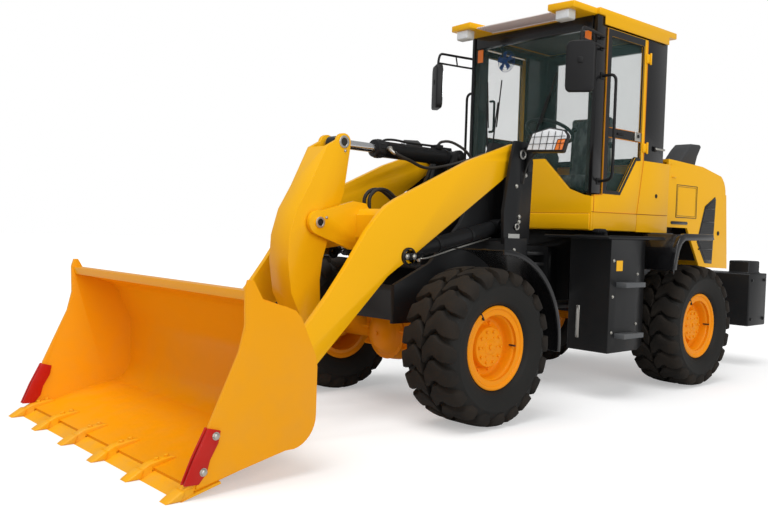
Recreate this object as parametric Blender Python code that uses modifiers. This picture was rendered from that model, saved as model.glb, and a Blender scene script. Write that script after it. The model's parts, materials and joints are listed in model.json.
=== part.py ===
"""Articulated wheel loader: a bucket on Z-bar lift arms, a cab and an engine hood, on four wheels.

Metres, +Z up. The machine faces -Y and its left side is +X. Everything is laid out from the front
axle, on the ground under it, and the root empty moves the whole machine so that its origin lies on
the ground under the middle of its box. Side views are drawn as (y, z) outlines, front views as
(x, z) outlines and plans as (x, y) outlines.
"""

import math

import bpy
from mathutils import Matrix, Vector

for old in list(bpy.data.objects):
    bpy.data.objects.remove(old, do_unlink=True)

# ---------------------------------------------------------------- driving sizes
SEAT_GAP = 0.0003          # between faces that touch
PIN_GAP = 0.0008           # a pin in its bore
LAP = 0.002                # how far faces of joined pieces stand apart, so that none coincide
SIDE_PLAY = 0.006          # beside an eye on its pin

WHEELBASE = 2.507
TYRE_RADIUS = 0.49
TYRE_WIDTH = 0.40
TRACK = 1.47               # tyre centre to tyre centre
BEAD_RADIUS = 0.204
FRONT_REACH = 2.243        # front axle to the tips of the teeth
REAR_REACH = 4.238         # front axle to the back of the counterweight
ARTICULATION_Y = WHEELBASE / 2

ARM_X = 0.42               # middle of a lift arm's plate
ARM_THICK = 0.04
BUCKET_HALF = 1.015
CAB_HALF = 0.62
CAB_FRONT = 1.34
CAB_BACK = 2.43
CAB_FLOOR = 1.235
CAB_WAIST = 1.80
ROOF_TOP = 2.885

# joint centres seen from the side, as (y, z)
ARM_PIVOT = (0.66, 1.74)
BUCKET_PIN = (-1.345, 0.25)
LINK_PIN = (-1.345, 0.50)
LEVER_FOOT = (-0.80, 0.47)
LEVER_PIN = (-0.81, 1.225)
LEVER_TOP = (-0.60, 1.735)
TILT_BASE = (0.468, 1.72)
LIFT_BASE = (0.62, 1.24)
LIFT_EYE = (-0.34, 1.03)

# steering cylinders seen from above, as (x, y), and their height
STEER_BASE = (0.33, 1.75)
STEER_EYE = (0.33, 0.95)
STEER_Z = 0.66

FACETS = 12                # sides of a boss or a tube
PIN_FACETS = 24            # sides of a pin and of its bore, which turn in each other

YELLOW = (0.88, 0.49, 0.012)
ORANGE = (0.83, 0.30, 0.01)
CHARCOAL = (0.022, 0.023, 0.025)
RUBBER = (0.018, 0.017, 0.016)

MACHINE = bpy.data.collections.new("wheel_loader")
bpy.context.scene.collection.children.link(MACHINE)


# ---------------------------------------------------------------- modelling tools
def material(name, colour, roughness, metallic):
    """A Principled material, made once for each name."""
    made = bpy.data.materials.get(name)
    if made is None:
        made = bpy.data.materials.new(name)
        made.use_nodes = True
        shader = made.node_tree.nodes["Principled BSDF"]
        shader.inputs["Base Color"].default_value = (*colour, 1.0)
        shader.inputs["Roughness"].default_value = roughness
        shader.inputs["Metallic"].default_value = metallic
    return made


def rename(obj, name):
    obj.name = name
    obj.data.name = name
    for group in list(obj.users_collection):
        group.objects.unlink(obj)
    MACHINE.objects.link(obj)
    return obj


def baked(obj):
    """Replaces a curve, or an object with modifiers, by the mesh that it evaluates to, in world space."""
    bpy.context.view_layer.update()
    depsgraph = bpy.context.evaluated_depsgraph_get()
    mesh = bpy.data.meshes.new_from_object(obj.evaluated_get(depsgraph))
    mesh.transform(obj.matrix_world)
    result = bpy.data.objects.new(obj.name, mesh)
    bpy.context.scene.collection.objects.link(result)
    bpy.data.objects.remove(obj, do_unlink=True)
    weld = result.modifiers.new("weld", "WELD")
    weld.merge_threshold = 0.00002
    return result


def block(low, high):
    """A box from its lowest corner to its highest."""
    bpy.ops.mesh.primitive_cube_add(size=1)
    obj = bpy.context.object
    obj.scale = [b - a for a, b in zip(low, high)]
    obj.location = [(a + b) / 2 for a, b in zip(low, high)]
    return baked(obj)


def flat(outline, low, high, across):
    """A flat outline with a thickness from low to high along the axis 'across' (X, Y or Z)."""
    curve = bpy.data.curves.new("outline", "CURVE")
    curve.dimensions = "2D"
    curve.fill_mode = "BOTH"
    curve.extrude = (high - low) / 2
    spline = curve.splines.new("POLY")
    spline.points.add(len(outline) - 1)
    for point, (u, v) in zip(spline.points, outline):
        point.co = (u, v, 0, 1)
    spline.use_cyclic_u = True
    obj = bpy.data.objects.new("outline", curve)
    bpy.context.scene.collection.objects.link(obj)
    middle = (low + high) / 2
    if across == "X":
        obj.matrix_world = Matrix(((0, 0, 1, middle), (1, 0, 0, 0), (0, 1, 0, 0), (0, 0, 0, 1)))
    elif across == "Y":
        obj.matrix_world = Matrix(((1, 0, 0, 0), (0, 0, -1, middle), (0, 1, 0, 0), (0, 0, 0, 1)))
    else:
        obj.matrix_world = Matrix.Translation((0, 0, middle))
    return baked(obj)


def rod(start, end, radius, sides=FACETS):
    """A round bar between two points."""
    start, end = Vector(start), Vector(end)
    bpy.ops.mesh.primitive_cylinder_add(vertices=sides, radius=radius, depth=(end - start).length)
    obj = bpy.context.object
    obj.location = (start + end) / 2
    obj.rotation_euler = (end - start).to_track_quat("Z", "Y").to_euler()
    return baked(obj)


def pin(centre, half, radius, height=None):
    """A pin, or the cutter of its bore, across the machine at a (y, z) centre, or upright at an (x, y) one."""
    if height is None:
        return rod(side(centre, -half), side(centre, half), radius, PIN_FACETS)
    return rod((*centre, height - half), (*centre, height + half), radius, PIN_FACETS)


def turned(profile, origin, direction, steps=FACETS):
    """Turns a profile of (distance along, radius) points, which ends on the axis, about 'direction'."""
    mesh = bpy.data.meshes.new("profile")
    points = [(radius, 0, along) for along, radius in profile]
    mesh.from_pydata(points, [(i, i + 1) for i in range(len(points) - 1)], [])
    obj = bpy.data.objects.new("profile", mesh)
    bpy.context.scene.collection.objects.link(obj)
    screw = obj.modifiers.new("turn", "SCREW")
    screw.steps = steps
    screw.render_steps = steps
    screw.use_merge_vertices = True
    screw.merge_threshold = 0.00002
    obj.rotation_euler = Vector(direction).to_track_quat("Z", "Y").to_euler()
    obj.location = origin
    return baked(obj)


def tube(points, radius, sides=2):
    """A bent tube along a few points."""
    curve = bpy.data.curves.new("tube", "CURVE")
    curve.dimensions = "3D"
    curve.bevel_depth = radius
    curve.bevel_resolution = sides
    curve.use_fill_caps = True
    spline = curve.splines.new("POLY")
    spline.points.add(len(points) - 1)
    for point, place in zip(spline.points, points):
        point.co = (*place, 1)
    obj = bpy.data.objects.new("tube", curve)
    bpy.context.scene.collection.objects.link(obj)
    return baked(obj)


def boolean(target, other, operation):
    change = target.modifiers.new(operation.lower(), "BOOLEAN")
    change.operation = operation
    change.solver = "EXACT"
    change.object = other
    result = baked(target)
    bpy.data.objects.remove(other, do_unlink=True)
    return result


def fused(pieces, cuts=()):
    """Joins pieces that overlap into one body, then cuts it."""
    result = pieces[0]
    for piece in pieces[1:]:
        result = boolean(result, piece, "UNION")
    for cut in cuts:
        result = boolean(result, cut, "DIFFERENCE")
    return result


def mirrored(obj):
    """A copy on the other side of the machine."""
    mesh = obj.data.copy()
    mesh.transform(Matrix.Scale(-1, 4, (1, 0, 0)))
    mesh.flip_normals()
    copy = bpy.data.objects.new(obj.name, mesh)
    bpy.context.scene.collection.objects.link(copy)
    for modifier in obj.modifiers:
        weld = copy.modifiers.new(modifier.name, modifier.type)
        weld.merge_threshold = modifier.merge_threshold
    return copy


def both(piece):
    """A piece and its mirror image."""
    return [piece, mirrored(piece)]


def node(name, obj, colour, roughness=0.4, metallic=0.0, smooth=True):
    """Gives a finished body its name and its material."""
    obj = rename(baked(obj), name)
    if smooth:
        obj.data.shade_smooth()
        obj.data.set_sharp_from_angle(angle=math.radians(30))
    obj.data.materials.clear()
    obj.data.materials.append(material(name + "_finish", colour, roughness, metallic))
    return obj


def arc(centre, radius, start, end, steps=8):
    """Points on an arc, with its angles in degrees."""
    span = [math.radians(start + (end - start) * i / steps) for i in range(steps + 1)]
    return [(centre[0] + radius * math.cos(a), centre[1] + radius * math.sin(a)) for a in span]


def side(point, x):
    """A (y, z) joint centre at a place across the machine."""
    return (x, point[0], point[1])


def toward(start, end):
    """The unit vector from one (y, z) centre to another, and their distance."""
    gap = Vector((end[0] - start[0], end[1] - start[1]))
    return gap.normalized(), gap.length


def bar_outline(start, end, radius_a, radius_b, steps=8):
    """A link's outline: round ends about two centres, joined by straight sides."""
    heading = math.degrees(math.atan2(end[1] - start[1], end[0] - start[0]))
    return (arc(start, radius_a, heading + 90, heading + 270, steps)
            + arc(end, radius_b, heading - 90, heading + 90, steps))


# ---------------------------------------------------------------- wheels
HALF_TYRE = TYRE_WIDTH / 2
RIM_HALF = 0.160           # wheel centre to a flange's outer face
FLANGE_RADIUS = 0.258
FLANGE_THICK = 0.012
WHEEL_STEPS = 24           # the tyre and its rim have the same facets, so that they nest


def tyre(centre):
    """A fat carcass with square shoulders, open at the bead."""
    bead = BEAD_RADIUS
    crown = TYRE_RADIUS
    inner = RIM_HALF - FLANGE_THICK - SEAT_GAP
    half = [(-inner, bead), (-inner, FLANGE_RADIUS + 0.003), (-HALF_TYRE, bead + 0.135), (-HALF_TYRE + 0.012, crown - 0.045),
            (-HALF_TYRE + 0.045, crown)]
    profile = half + [(-along, radius) for along, radius in half][::-1] + half[:1]
    return turned(profile[::-1], centre, (1, 0, 0), WHEEL_STEPS)


def rim(centre, outward):
    """The rim, its disc and the hub's end as one turned body; 'outward' is +1 on the left side."""
    seat = BEAD_RADIUS - SEAT_GAP
    lip = RIM_HALF
    web = lip - FLANGE_THICK
    well = 0.155
    profile = [(0.128, 0), (0.128, 0.085), (0.05, 0.108), (0.05, well), (web - 0.02, seat - 0.012),
               (lip, FLANGE_RADIUS - 0.014), (lip, FLANGE_RADIUS), (web, FLANGE_RADIUS), (web, seat),
               (-web, seat), (-web, FLANGE_RADIUS), (-lip, FLANGE_RADIUS), (-lip, FLANGE_RADIUS - 0.014),
               (-web + 0.02, seat - 0.012), (0.025, well), (0.025, 0.115), (-0.09, 0.105), (-0.09, 0)]
    return turned(profile, centre, (outward, 0, 0), WHEEL_STEPS)


AXLES = (("front", 0.0), ("rear", WHEELBASE))
SIDES = (("left", 1), ("right", -1))
for axle_name, axle_y in AXLES:
    for side_name, sign in SIDES:
        centre = (sign * TRACK / 2, axle_y, TYRE_RADIUS)
        node(f"{axle_name}_{side_name}_tyre", tyre(centre), RUBBER, 0.9)
        node(f"{axle_name}_{side_name}_rim", rim(centre, sign), ORANGE, 0.45)


# ---------------------------------------------------------------- axles
HUB_FACE = TRACK / 2 - 0.09          # inner face of a rim's hub
AXLE_PAD_X = 0.225                   # middle of the frame's seats on an axle
AXLE_PAD_TOP = TYRE_RADIUS + 0.10


def axle(axle_y, nose):
    """A drive axle: trumpet arms, brake flanges, a round differential and its input nose."""
    reach = HUB_FACE - PIN_GAP
    arm = [(-reach, 0), (-reach, 0.10), (-reach + 0.04, 0.10), (-reach + 0.05, 0.068), (-0.30, 0.072),
           (-0.19, 0.085), (-0.155, 0.125), (-0.10, 0.165), (0, 0.19)]
    profile = arm + [(-along, radius) for along, radius in arm[:-1]][::-1]
    housing = turned(profile[::-1], (0, axle_y, TYRE_RADIUS), (1, 0, 0), 16)
    input_nose = rod((0, axle_y + nose * 0.10, TYRE_RADIUS), (0, axle_y + nose * 0.30, TYRE_RADIUS), 0.075)
    pads = both(block((AXLE_PAD_X - 0.035, axle_y - 0.06, TYRE_RADIUS),
                      (AXLE_PAD_X + 0.035, axle_y + 0.06, AXLE_PAD_TOP)))
    return fused([housing, input_nose, *pads])


node("front_axle", axle(0.0, 1), ORANGE, 0.45)
node("rear_axle", axle(WHEELBASE, -1), ORANGE, 0.45)


# ---------------------------------------------------------------- front frame
INNER_PLATE = (0.25, 0.28)           # x range of the tower's inner plates
OUTER_PLATE = (0.475, 0.50)          # x range of the tower's outer plates
ARM_PIN_RADIUS = 0.035
CYLINDER_PIN_RADIUS = 0.025
TOWER_BACK = 0.76                    # back wall of the tower's pockets
FRAME_BOTTOM = AXLE_PAD_TOP + SEAT_GAP
HINGE_RADIUS = 0.085
HINGE_PIN_RADIUS = 0.032
HINGE_LEVELS = (0.62, 1.00)    # middle heights of the front frame's hinge lugs
LUG_THICK = 0.05
TILT_BASE_X = (0.065, 0.095)

inner_outline = [(-0.30, FRAME_BOTTOM), (0.92, FRAME_BOTTOM), (0.99, FRAME_BOTTOM + 0.08), (0.99, 1.03), (0.90, 1.10),
                 (0.80, 1.16), (0.78, 1.70), (0.74, 1.83), (0.60, 1.83), (0.50, 1.60), (0.30, 1.25), (0.02, 0.98),
                 (-0.30, 0.84)]
outer_outline = [(0.50, 1.12), (0.49, 1.34), (0.555, 1.70), (0.59, 1.83), (0.74, 1.83), (0.79, 1.70),
                 (0.77, 1.12)]
centre_outline = [(0.10, 0.945), (0.30, 1.38), (0.40, 1.70)] + arc(TILT_BASE, 0.055, 180, 0) + [
    (0.56, 1.55), (0.70, 1.15), (0.70, 0.945)]


def front_frame():
    """Side plates that carry the axle, the arm towers and the hinge, with their cross members."""
    pieces = both(flat(inner_outline, *INNER_PLATE, "X"))
    pieces += both(flat(outer_outline, *OUTER_PLATE, "X"))
    inner, outer = INNER_PLATE[0] + 0.01, OUTER_PLATE[1] - 0.01
    for low, high in (
            ((-inner, -0.297, 0.80), (inner, -0.26, 0.835)),
            ((-inner, -0.293, FRAME_BOTTOM + 0.02), (inner, -0.27, 0.82)),
            ((-inner, 0.94, FRAME_BOTTOM + 0.04), (inner, 0.98, 1.05)),
            ((-inner, 0.05, 0.93), (inner, 0.75, 0.96)),
            ((-outer, TOWER_BACK - 0.02, 1.13), (outer, TOWER_BACK, 1.60)),
            ((-outer, 0.51, 1.135), (outer, TOWER_BACK - LAP, 1.155))):
        pieces.append(block(low, high))
    pieces += both(flat(centre_outline, *TILT_BASE_X, "X"))
    pin_low, pin_high = INNER_PLATE[0] - 0.03, OUTER_PLATE[1] + 0.012
    for centre, radius in ((ARM_PIVOT, ARM_PIN_RADIUS), (LIFT_BASE, CYLINDER_PIN_RADIUS)):
        pieces += both(rod(side(centre, pin_low), side(centre, pin_high), radius, PIN_FACETS))
    pieces.append(pin(TILT_BASE, TILT_BASE_X[1] + 0.02, CYLINDER_PIN_RADIUS))
    lug = ([(-0.20, 0.95), (-0.16, 1.00), (-HINGE_RADIUS, ARTICULATION_Y - 0.03)]
           + arc((0, ARTICULATION_Y), HINGE_RADIUS, 180, 0)
           + [(HINGE_RADIUS, ARTICULATION_Y - 0.03), (0.16, 1.00), (0.20, 0.95)])
    for level in HINGE_LEVELS:
        pieces.append(flat(lug, level - LUG_THICK / 2, level + LUG_THICK / 2, "Z"))
    eye_x, eye_y = STEER_EYE
    for level in (STEER_Z + 0.042, STEER_Z - 0.042):
        lug_plate = [(0.26, eye_y - 0.06), (0.26, eye_y + 0.03)] + [
            (eye_x + 0.04, eye_y + 0.04), (eye_x + 0.04, eye_y - 0.04)]
        pieces += both(flat(lug_plate, level - 0.009, level + 0.009, "Z"))
    return fused(pieces, [pin((0, ARTICULATION_Y), 0.5, HINGE_PIN_RADIUS + PIN_GAP, sum(HINGE_LEVELS) / 2)])


node("front_frame", front_frame(), CHARCOAL, 0.45)


# ---------------------------------------------------------------- front mudguards and headlamps
GUARD_INNER = OUTER_PLATE[1] + SEAT_GAP
GUARD_OUTER = 0.925
GUARD_RADIUS = 0.60
GUARD_THICK = 0.008


def front_mudguard():
    """A rolled sheet over and behind the wheel, with a web on its inner edge."""
    centre = (0.0, TYRE_RADIUS)
    outer = arc(centre, GUARD_RADIUS, -6, 90, 9)
    inner = arc(centre, GUARD_RADIUS - GUARD_THICK, -6, 90, 9)
    sheet = flat(outer + inner[::-1], GUARD_INNER, GUARD_OUTER, "X")
    bead_outer = arc(centre, GUARD_RADIUS + LAP, -6.5, 90.5, 9)
    bead_inner = arc(centre, GUARD_RADIUS - 0.03, -6.5, 90.5, 9)
    rim_bead = flat(bead_outer + bead_inner[::-1], GUARD_OUTER - 0.008, GUARD_OUTER + LAP, "X")
    web = [(0.50, 0.75), (0.50, 1.16), (0.74, 1.16), (0.74, 0.75)]
    bracket = flat(web, GUARD_INNER, GUARD_INNER + 0.010, "X")
    return fused([sheet, rim_bead, bracket])


guard = front_mudguard()
guard_right = mirrored(guard)
node("front_mudguard_left", guard, CHARCOAL, 0.5)
node("front_mudguard_right", guard_right, CHARCOAL, 0.5)

LAMP_CENTRE = (0.674, 0.72, 1.835)
LAMP_SIZE = (0.29, 0.13, 0.165)      # width, depth and height of the housing
LAMP_YAW = 30


def headlamp():
    """A housing turned outward, on a stay from the tower's outer plate."""
    width, depth, height = LAMP_SIZE
    outline = [(-width / 2, -height / 2), (width / 2 - 0.03, -height / 2), (width / 2, height / 2 - 0.05),
               (width / 2 - 0.02, height / 2 - 0.02), (0.02, height / 2), (-width / 2 + 0.04, height / 2 - 0.04)]
    housing = flat(outline, -depth / 2, depth / 2, "Y")
    housing.data.transform(Matrix.Rotation(math.radians(LAMP_YAW), 4, "Z"))
    housing.data.transform(Matrix.Translation(LAMP_CENTRE))
    seat = OUTER_PLATE[1] + SEAT_GAP
    stay = block((seat, 0.70, 1.62), (seat + 0.03, 0.74, 1.80))
    foot = block((seat + LAP, 0.70 + LAP, 1.765), (LAMP_CENTRE[0], 0.74 - LAP, 1.79))
    return fused([housing, stay, foot])


lamp = headlamp()
lamp_right = mirrored(lamp)
node("headlamp_left", lamp, CHARCOAL, 0.4)
node("headlamp_right", lamp_right, CHARCOAL, 0.4)


# ---------------------------------------------------------------- lift arms
LEVER_X = (0.07, 0.10)               # x range of the bellcrank's plates
BRACKET_X = (0.112, 0.142)           # x range of the arms' brackets beside it
BEAM_MIDDLE = (-0.42, 1.21)
BUCKET_PIN_RADIUS = 0.03
arm_low, arm_high = ARM_X - ARM_THICK / 2, ARM_X + ARM_THICK / 2

arm_outline = (arc(ARM_PIVOT, 0.078, -60, 110)
               + [(0.199, 1.667), (-0.44, 1.385), (-0.527, 1.336), (-0.583, 1.285), (-0.678, 1.180), (-0.827, 0.970),
                  (-0.955, 0.806), (-1.121, 0.619)]
               + arc(BUCKET_PIN, 0.075, 138, 318)
               + [(-1.025, 0.417), (-0.505, 0.908), (-0.43, 0.955), (-0.375, 0.985), (0.52, 1.55)])


def lift_arms():
    """Two bent plates, the beam between them and the brackets that hold the bellcrank."""
    pieces = both(flat(arm_outline, arm_low, arm_high, "X"))
    beam_y, beam_z = BEAM_MIDDLE
    beam = [(beam_y - 0.10, beam_z - 0.07), (beam_y - 0.07, beam_z - 0.11), (beam_y + 0.07, beam_z - 0.11),
            (beam_y + 0.10, beam_z - 0.07), (beam_y + 0.10, beam_z + 0.07), (beam_y + 0.07, beam_z + 0.11),
            (beam_y - 0.07, beam_z + 0.11), (beam_y - 0.10, beam_z + 0.07)]
    pieces.append(flat(beam, -arm_low - 0.005, arm_low + 0.005, "X"))
    bracket = arc(LEVER_PIN, 0.075, 75, 255) + [(-0.56, 1.06), (-0.40, 1.08), (-0.36, 1.25), (-0.44, 1.355),
                                                  (-0.54, 1.365)]
    pieces += both(flat(bracket, *BRACKET_X, "X"))
    pieces.append(pin(LEVER_PIN, BRACKET_X[1] + 0.01, ARM_PIN_RADIUS))
    pieces += both(rod(side(BUCKET_PIN, arm_low - 0.03), side(BUCKET_PIN, arm_high + 0.03), 0.065))
    pieces += both(rod(side(LIFT_EYE, arm_high - 0.01), side(LIFT_EYE, arm_high + 0.022), 0.045))
    return fused(pieces, [pin(ARM_PIVOT, 1, ARM_PIN_RADIUS + PIN_GAP), pin(BUCKET_PIN, 1, BUCKET_PIN_RADIUS + PIN_GAP)])


node("lift_arms", lift_arms(), YELLOW, 0.35)


# ---------------------------------------------------------------- bellcrank and link
LINK_HALF = 0.035
lever_rear = [(-0.548, 1.70), (-0.59, 1.42), (-0.655, 1.25), (-0.70, 1.14), (-0.745, 1.00), (-0.762, 0.87),
              (-0.752, 0.70)]
lever_front = [(-0.885, 0.62), (-0.975, 0.79), (-1.005, 0.99), (-0.998, 1.14), (-0.95, 1.30), (-0.86, 1.45),
               (-0.735, 1.70)]


def bellcrank():
    """Two curved plates, a hub on the brackets' pin and a web that follows the front edge."""
    outline = (arc(LEVER_TOP, 0.055, 0, 170) + lever_front[::-1] + arc(LEVER_FOOT, 0.06, 170, 350)
               + lever_rear[::-1])
    pieces = both(flat(outline, *LEVER_X, "X"))
    web_back = [(y + 0.022, z) for y, z in lever_front]
    web = lever_front + web_back[::-1]
    pieces.append(flat(web, -LEVER_X[0] - 0.005, LEVER_X[0] + 0.005, "X"))
    pieces.append(rod(side(LEVER_PIN, -LEVER_X[1] - 0.004), side(LEVER_PIN, LEVER_X[1] + 0.004), 0.06))
    return fused(pieces, [pin(LEVER_PIN, 1, ARM_PIN_RADIUS + PIN_GAP)])


node("bellcrank", bellcrank(), YELLOW, 0.35)


def tilt_link():
    """The short bar between the bellcrank's foot and the bucket."""
    bar = flat(bar_outline(LINK_PIN, LEVER_FOOT, 0.05, 0.05), -LINK_HALF, LINK_HALF, "X")
    return fused([bar], [pin(end, 1, BUCKET_PIN_RADIUS + PIN_GAP) for end in (LINK_PIN, LEVER_FOOT)])


node("tilt_link", tilt_link(), YELLOW, 0.35)


# ---------------------------------------------------------------- bucket
SHELL_THICK = 0.014
CHEEK_THICK = 0.020
wrapper = ([(-2.10, 0.032), (-1.64, 0.142)] + arc((-1.615, 0.29), 0.150, -80, 0)
           + [(-1.465, 0.50)] + arc((-1.62, 0.52), 0.155, 0, 22, 2)
           + [(-1.565, 0.765)] + [(-1.60, 0.80), (-1.66, 0.822), (-1.855, 0.885)])
cheek = [(-2.105, 0.045), (-1.64, 0.142)] + arc((-1.615, 0.29), 0.150, -80, 0) + [(-1.465, 0.50)] + arc(
    (-1.62, 0.52), 0.155, 0, 22, 2) + [(-1.565, 0.765), (-1.60, 0.80), (-1.66, 0.822), (-1.78, 0.85), (-1.838, 0.948),
                                      (-1.862, 0.948), (-1.876, 0.904), (-1.871, 0.742), (-1.899, 0.627), (-2.044, 0.315)]


def offset_inward(points, thick):
    """The same open outline, moved to its left by a thickness."""
    moved = []
    for i, point in enumerate(points):
        before = points[max(i - 1, 0)]
        after = points[min(i + 1, len(points) - 1)]
        run, rise = after[0] - before[0], after[1] - before[1]
        length = math.hypot(run, rise)
        moved.append((point[0] - rise / length * thick, point[1] + run / length * thick))
    return moved


def bucket():
    """A rolled shell between two cheeks, a lip along its top and the hinge plates on its back."""
    shell_x = BUCKET_HALF - CHEEK_THICK + 0.005
    shell = wrapper + offset_inward(wrapper, SHELL_THICK)[::-1]
    pieces = [flat(shell, -shell_x, shell_x, "X")]
    pieces += both(flat(cheek, BUCKET_HALF - CHEEK_THICK, BUCKET_HALF, "X"))
    lip = [(-1.82, 0.868), (-1.855, 0.855), (-1.868, 0.898), (-1.83, 0.902)]
    pieces.append(flat(lip, -shell_x, shell_x, "X"))
    seat_line = [(-1.483, 0.58), (-1.472, 0.53)]     # inside the shell's wall, along the back of its upper bend
    hinge = (arc(BUCKET_PIN, 0.058, -120, 60) + [(-1.40, 0.62), (-1.503, 0.62)] + seat_line
             + arc((-1.615, 0.29), 0.143, 0, -62, 5) + [(-1.47, 0.165)])
    for low, high in ((arm_low - 0.055, arm_low - 0.035), (arm_high + 0.035, arm_high + 0.055)):
        pieces += both(flat(hinge, low, high, "X"))
    pieces += both(rod(side(BUCKET_PIN, arm_low - 0.065), side(BUCKET_PIN, arm_high + 0.065), BUCKET_PIN_RADIUS,
                       PIN_FACETS))
    ear = arc(LINK_PIN, 0.055, -90, 90) + [(-1.40, 0.66), (-1.520, 0.66)] + seat_line + [(-1.472, 0.38)]
    pieces += both(flat(ear, LINK_HALF + SIDE_PLAY, LINK_HALF + SIDE_PLAY + 0.02, "X"))
    pieces.append(pin(LINK_PIN, LINK_HALF + 0.036, BUCKET_PIN_RADIUS))
    return fused(pieces)


node("bucket", bucket(), YELLOW, 0.35)

TOOTH_COUNT = 6
TOOTH_SPAN = 0.975                   # middle of the bucket to the middle of the outer tooth


def cutting_edge():
    """The edge plate under the shell's front and its forged teeth."""
    edge = [(-2.175, 0.0), (-1.98, 0.0475), (-1.985, 0.0585), (-2.10, 0.0305)]
    pieces = [flat(edge, -BUCKET_HALF + 0.002, BUCKET_HALF - 0.002, "X")]
    tooth = [(-FRONT_REACH, 0.001), (-2.16, 0.001), (-2.112, 0.020), (-2.112, 0.050), (-2.165, 0.044)]
    for i in range(TOOTH_COUNT):
        x = -TOOTH_SPAN + 2 * TOOTH_SPAN * i / (TOOTH_COUNT - 1)
        pieces.append(flat(tooth, x - 0.03, x + 0.03, "X"))
    return fused(pieces)


node("cutting_edge", cutting_edge(), YELLOW, 0.5)


# ---------------------------------------------------------------- cylinders
ROD_SHARE = 0.55                     # a rod's radius as a share of its barrel's
BORE_PLAY = 0.0005
STEEL = (0.75, 0.76, 0.78)


def barrel(base, eye, x, radius, length, bore, eye_radius, eye_half, pin_radius):
    """A cylinder's barrel with its base eye; it points from the base towards the rod's eye."""
    heading, _ = toward(base, eye)
    step = Vector((0, heading.x, heading.y))
    start = Vector(side(base, x))
    body = rod(start + step * eye_radius * 0.6, start + step * length, radius)
    gland = rod(start + step * (length - 0.05), start + step * (length + 0.012), radius + 0.009)
    eye_ring = rod(start - Vector((eye_half, 0, 0)), start + Vector((eye_half, 0, 0)), eye_radius)
    cuts = [rod(start - Vector((0.2, 0, 0)), start + Vector((0.2, 0, 0)), pin_radius + PIN_GAP, PIN_FACETS),
            rod(start + step * bore, start + step * (length + 0.1), radius * ROD_SHARE + BORE_PLAY + BORE_PLAY)]
    return fused([body, gland, eye_ring], cuts)


def piston_rod(base, eye, x, radius, start_at, eye_radius, eye_half):
    """A cylinder's rod and its eye."""
    heading, reach = toward(base, eye)
    step = Vector((0, heading.x, heading.y))
    start = Vector(side(base, x))
    shaft = rod(start + step * start_at, start + step * (reach - eye_radius * 0.5), radius * ROD_SHARE)
    end = start + step * reach
    eye_ring = rod(end - Vector((eye_half, 0, 0)), end + Vector((eye_half, 0, 0)), eye_radius)
    return fused([shaft, eye_ring])


LIFT_X = (INNER_PLATE[1] + arm_low) / 2
LIFT_RADIUS = 0.050
lift_barrel = barrel(LIFT_BASE, LIFT_EYE, LIFT_X, LIFT_RADIUS, 0.86, 0.25, 0.05, 0.04, CYLINDER_PIN_RADIUS)
lift_rod = piston_rod(LIFT_BASE, LIFT_EYE, LIFT_X, LIFT_RADIUS, 0.26, 0.048, 0.04)
lift_pair = ((lift_barrel, "left"), (mirrored(lift_barrel), "right"))
rod_pair = ((lift_rod, "left"), (mirrored(lift_rod), "right"))
for made, side_name in lift_pair:
    node(f"lift_barrel_{side_name}", made, CHARCOAL, 0.35)
for made, side_name in rod_pair:
    node(f"lift_rod_{side_name}", made, STEEL, 0.15, 1.0)

TILT_RADIUS = 0.055
node("tilt_barrel", barrel(TILT_BASE, LEVER_TOP, 0, TILT_RADIUS, 0.73, 0.30, 0.05, 0.055, CYLINDER_PIN_RADIUS),
     CHARCOAL, 0.35)
node("tilt_rod", piston_rod(TILT_BASE, LEVER_TOP, 0, TILT_RADIUS, 0.52, 0.042, 0.04), STEEL, 0.15, 1.0)

STEER_RADIUS = 0.032
STEER_PIN_RADIUS = 0.018


def steer_barrel(sign):
    x, base_y = sign * STEER_BASE[0], STEER_BASE[1]
    body = rod((x, base_y - 0.02, STEER_Z), (x, base_y - 0.52, STEER_Z), STEER_RADIUS)
    ring = rod((x, base_y, STEER_Z - 0.025), (x, base_y, STEER_Z + 0.025), 0.038)
    cuts = [pin((x, base_y), 0.1, STEER_PIN_RADIUS + PIN_GAP, STEER_Z),
            rod((x, base_y - 0.08, STEER_Z), (x, base_y - 0.60, STEER_Z), STEER_RADIUS * ROD_SHARE + BORE_PLAY)]
    return fused([body, ring], cuts)


def steer_rod(sign):
    x, base_y, eye_y = sign * STEER_EYE[0], STEER_BASE[1], STEER_EYE[1]
    shaft = rod((x, base_y - 0.30, STEER_Z), (x, eye_y + 0.02, STEER_Z), STEER_RADIUS * ROD_SHARE)
    ring = rod((x, eye_y, STEER_Z - 0.025), (x, eye_y, STEER_Z + 0.025), 0.034)
    return fused([shaft, ring])


for side_name, sign in SIDES:
    node(f"steer_barrel_{side_name}", steer_barrel(sign), CHARCOAL, 0.4)
    node(f"steer_rod_{side_name}", steer_rod(sign), STEEL, 0.15, 1.0)


# ---------------------------------------------------------------- rear frame
BEAM_X = (0.19, 0.26)
REAR_TOP = 0.86
FORK_GAP = 0.004
PLATFORM = 1.205                     # top of the side tanks
WEIGHT_FRONT = 3.87
ENGINE_BOTTOM = 0.72
TANK_INNER = 0.50
TANK_OUTER = 0.85
TANK_FRONT = 1.27
TANK_BACK = 1.93
TANK_BOTTOM = 0.35


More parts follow.
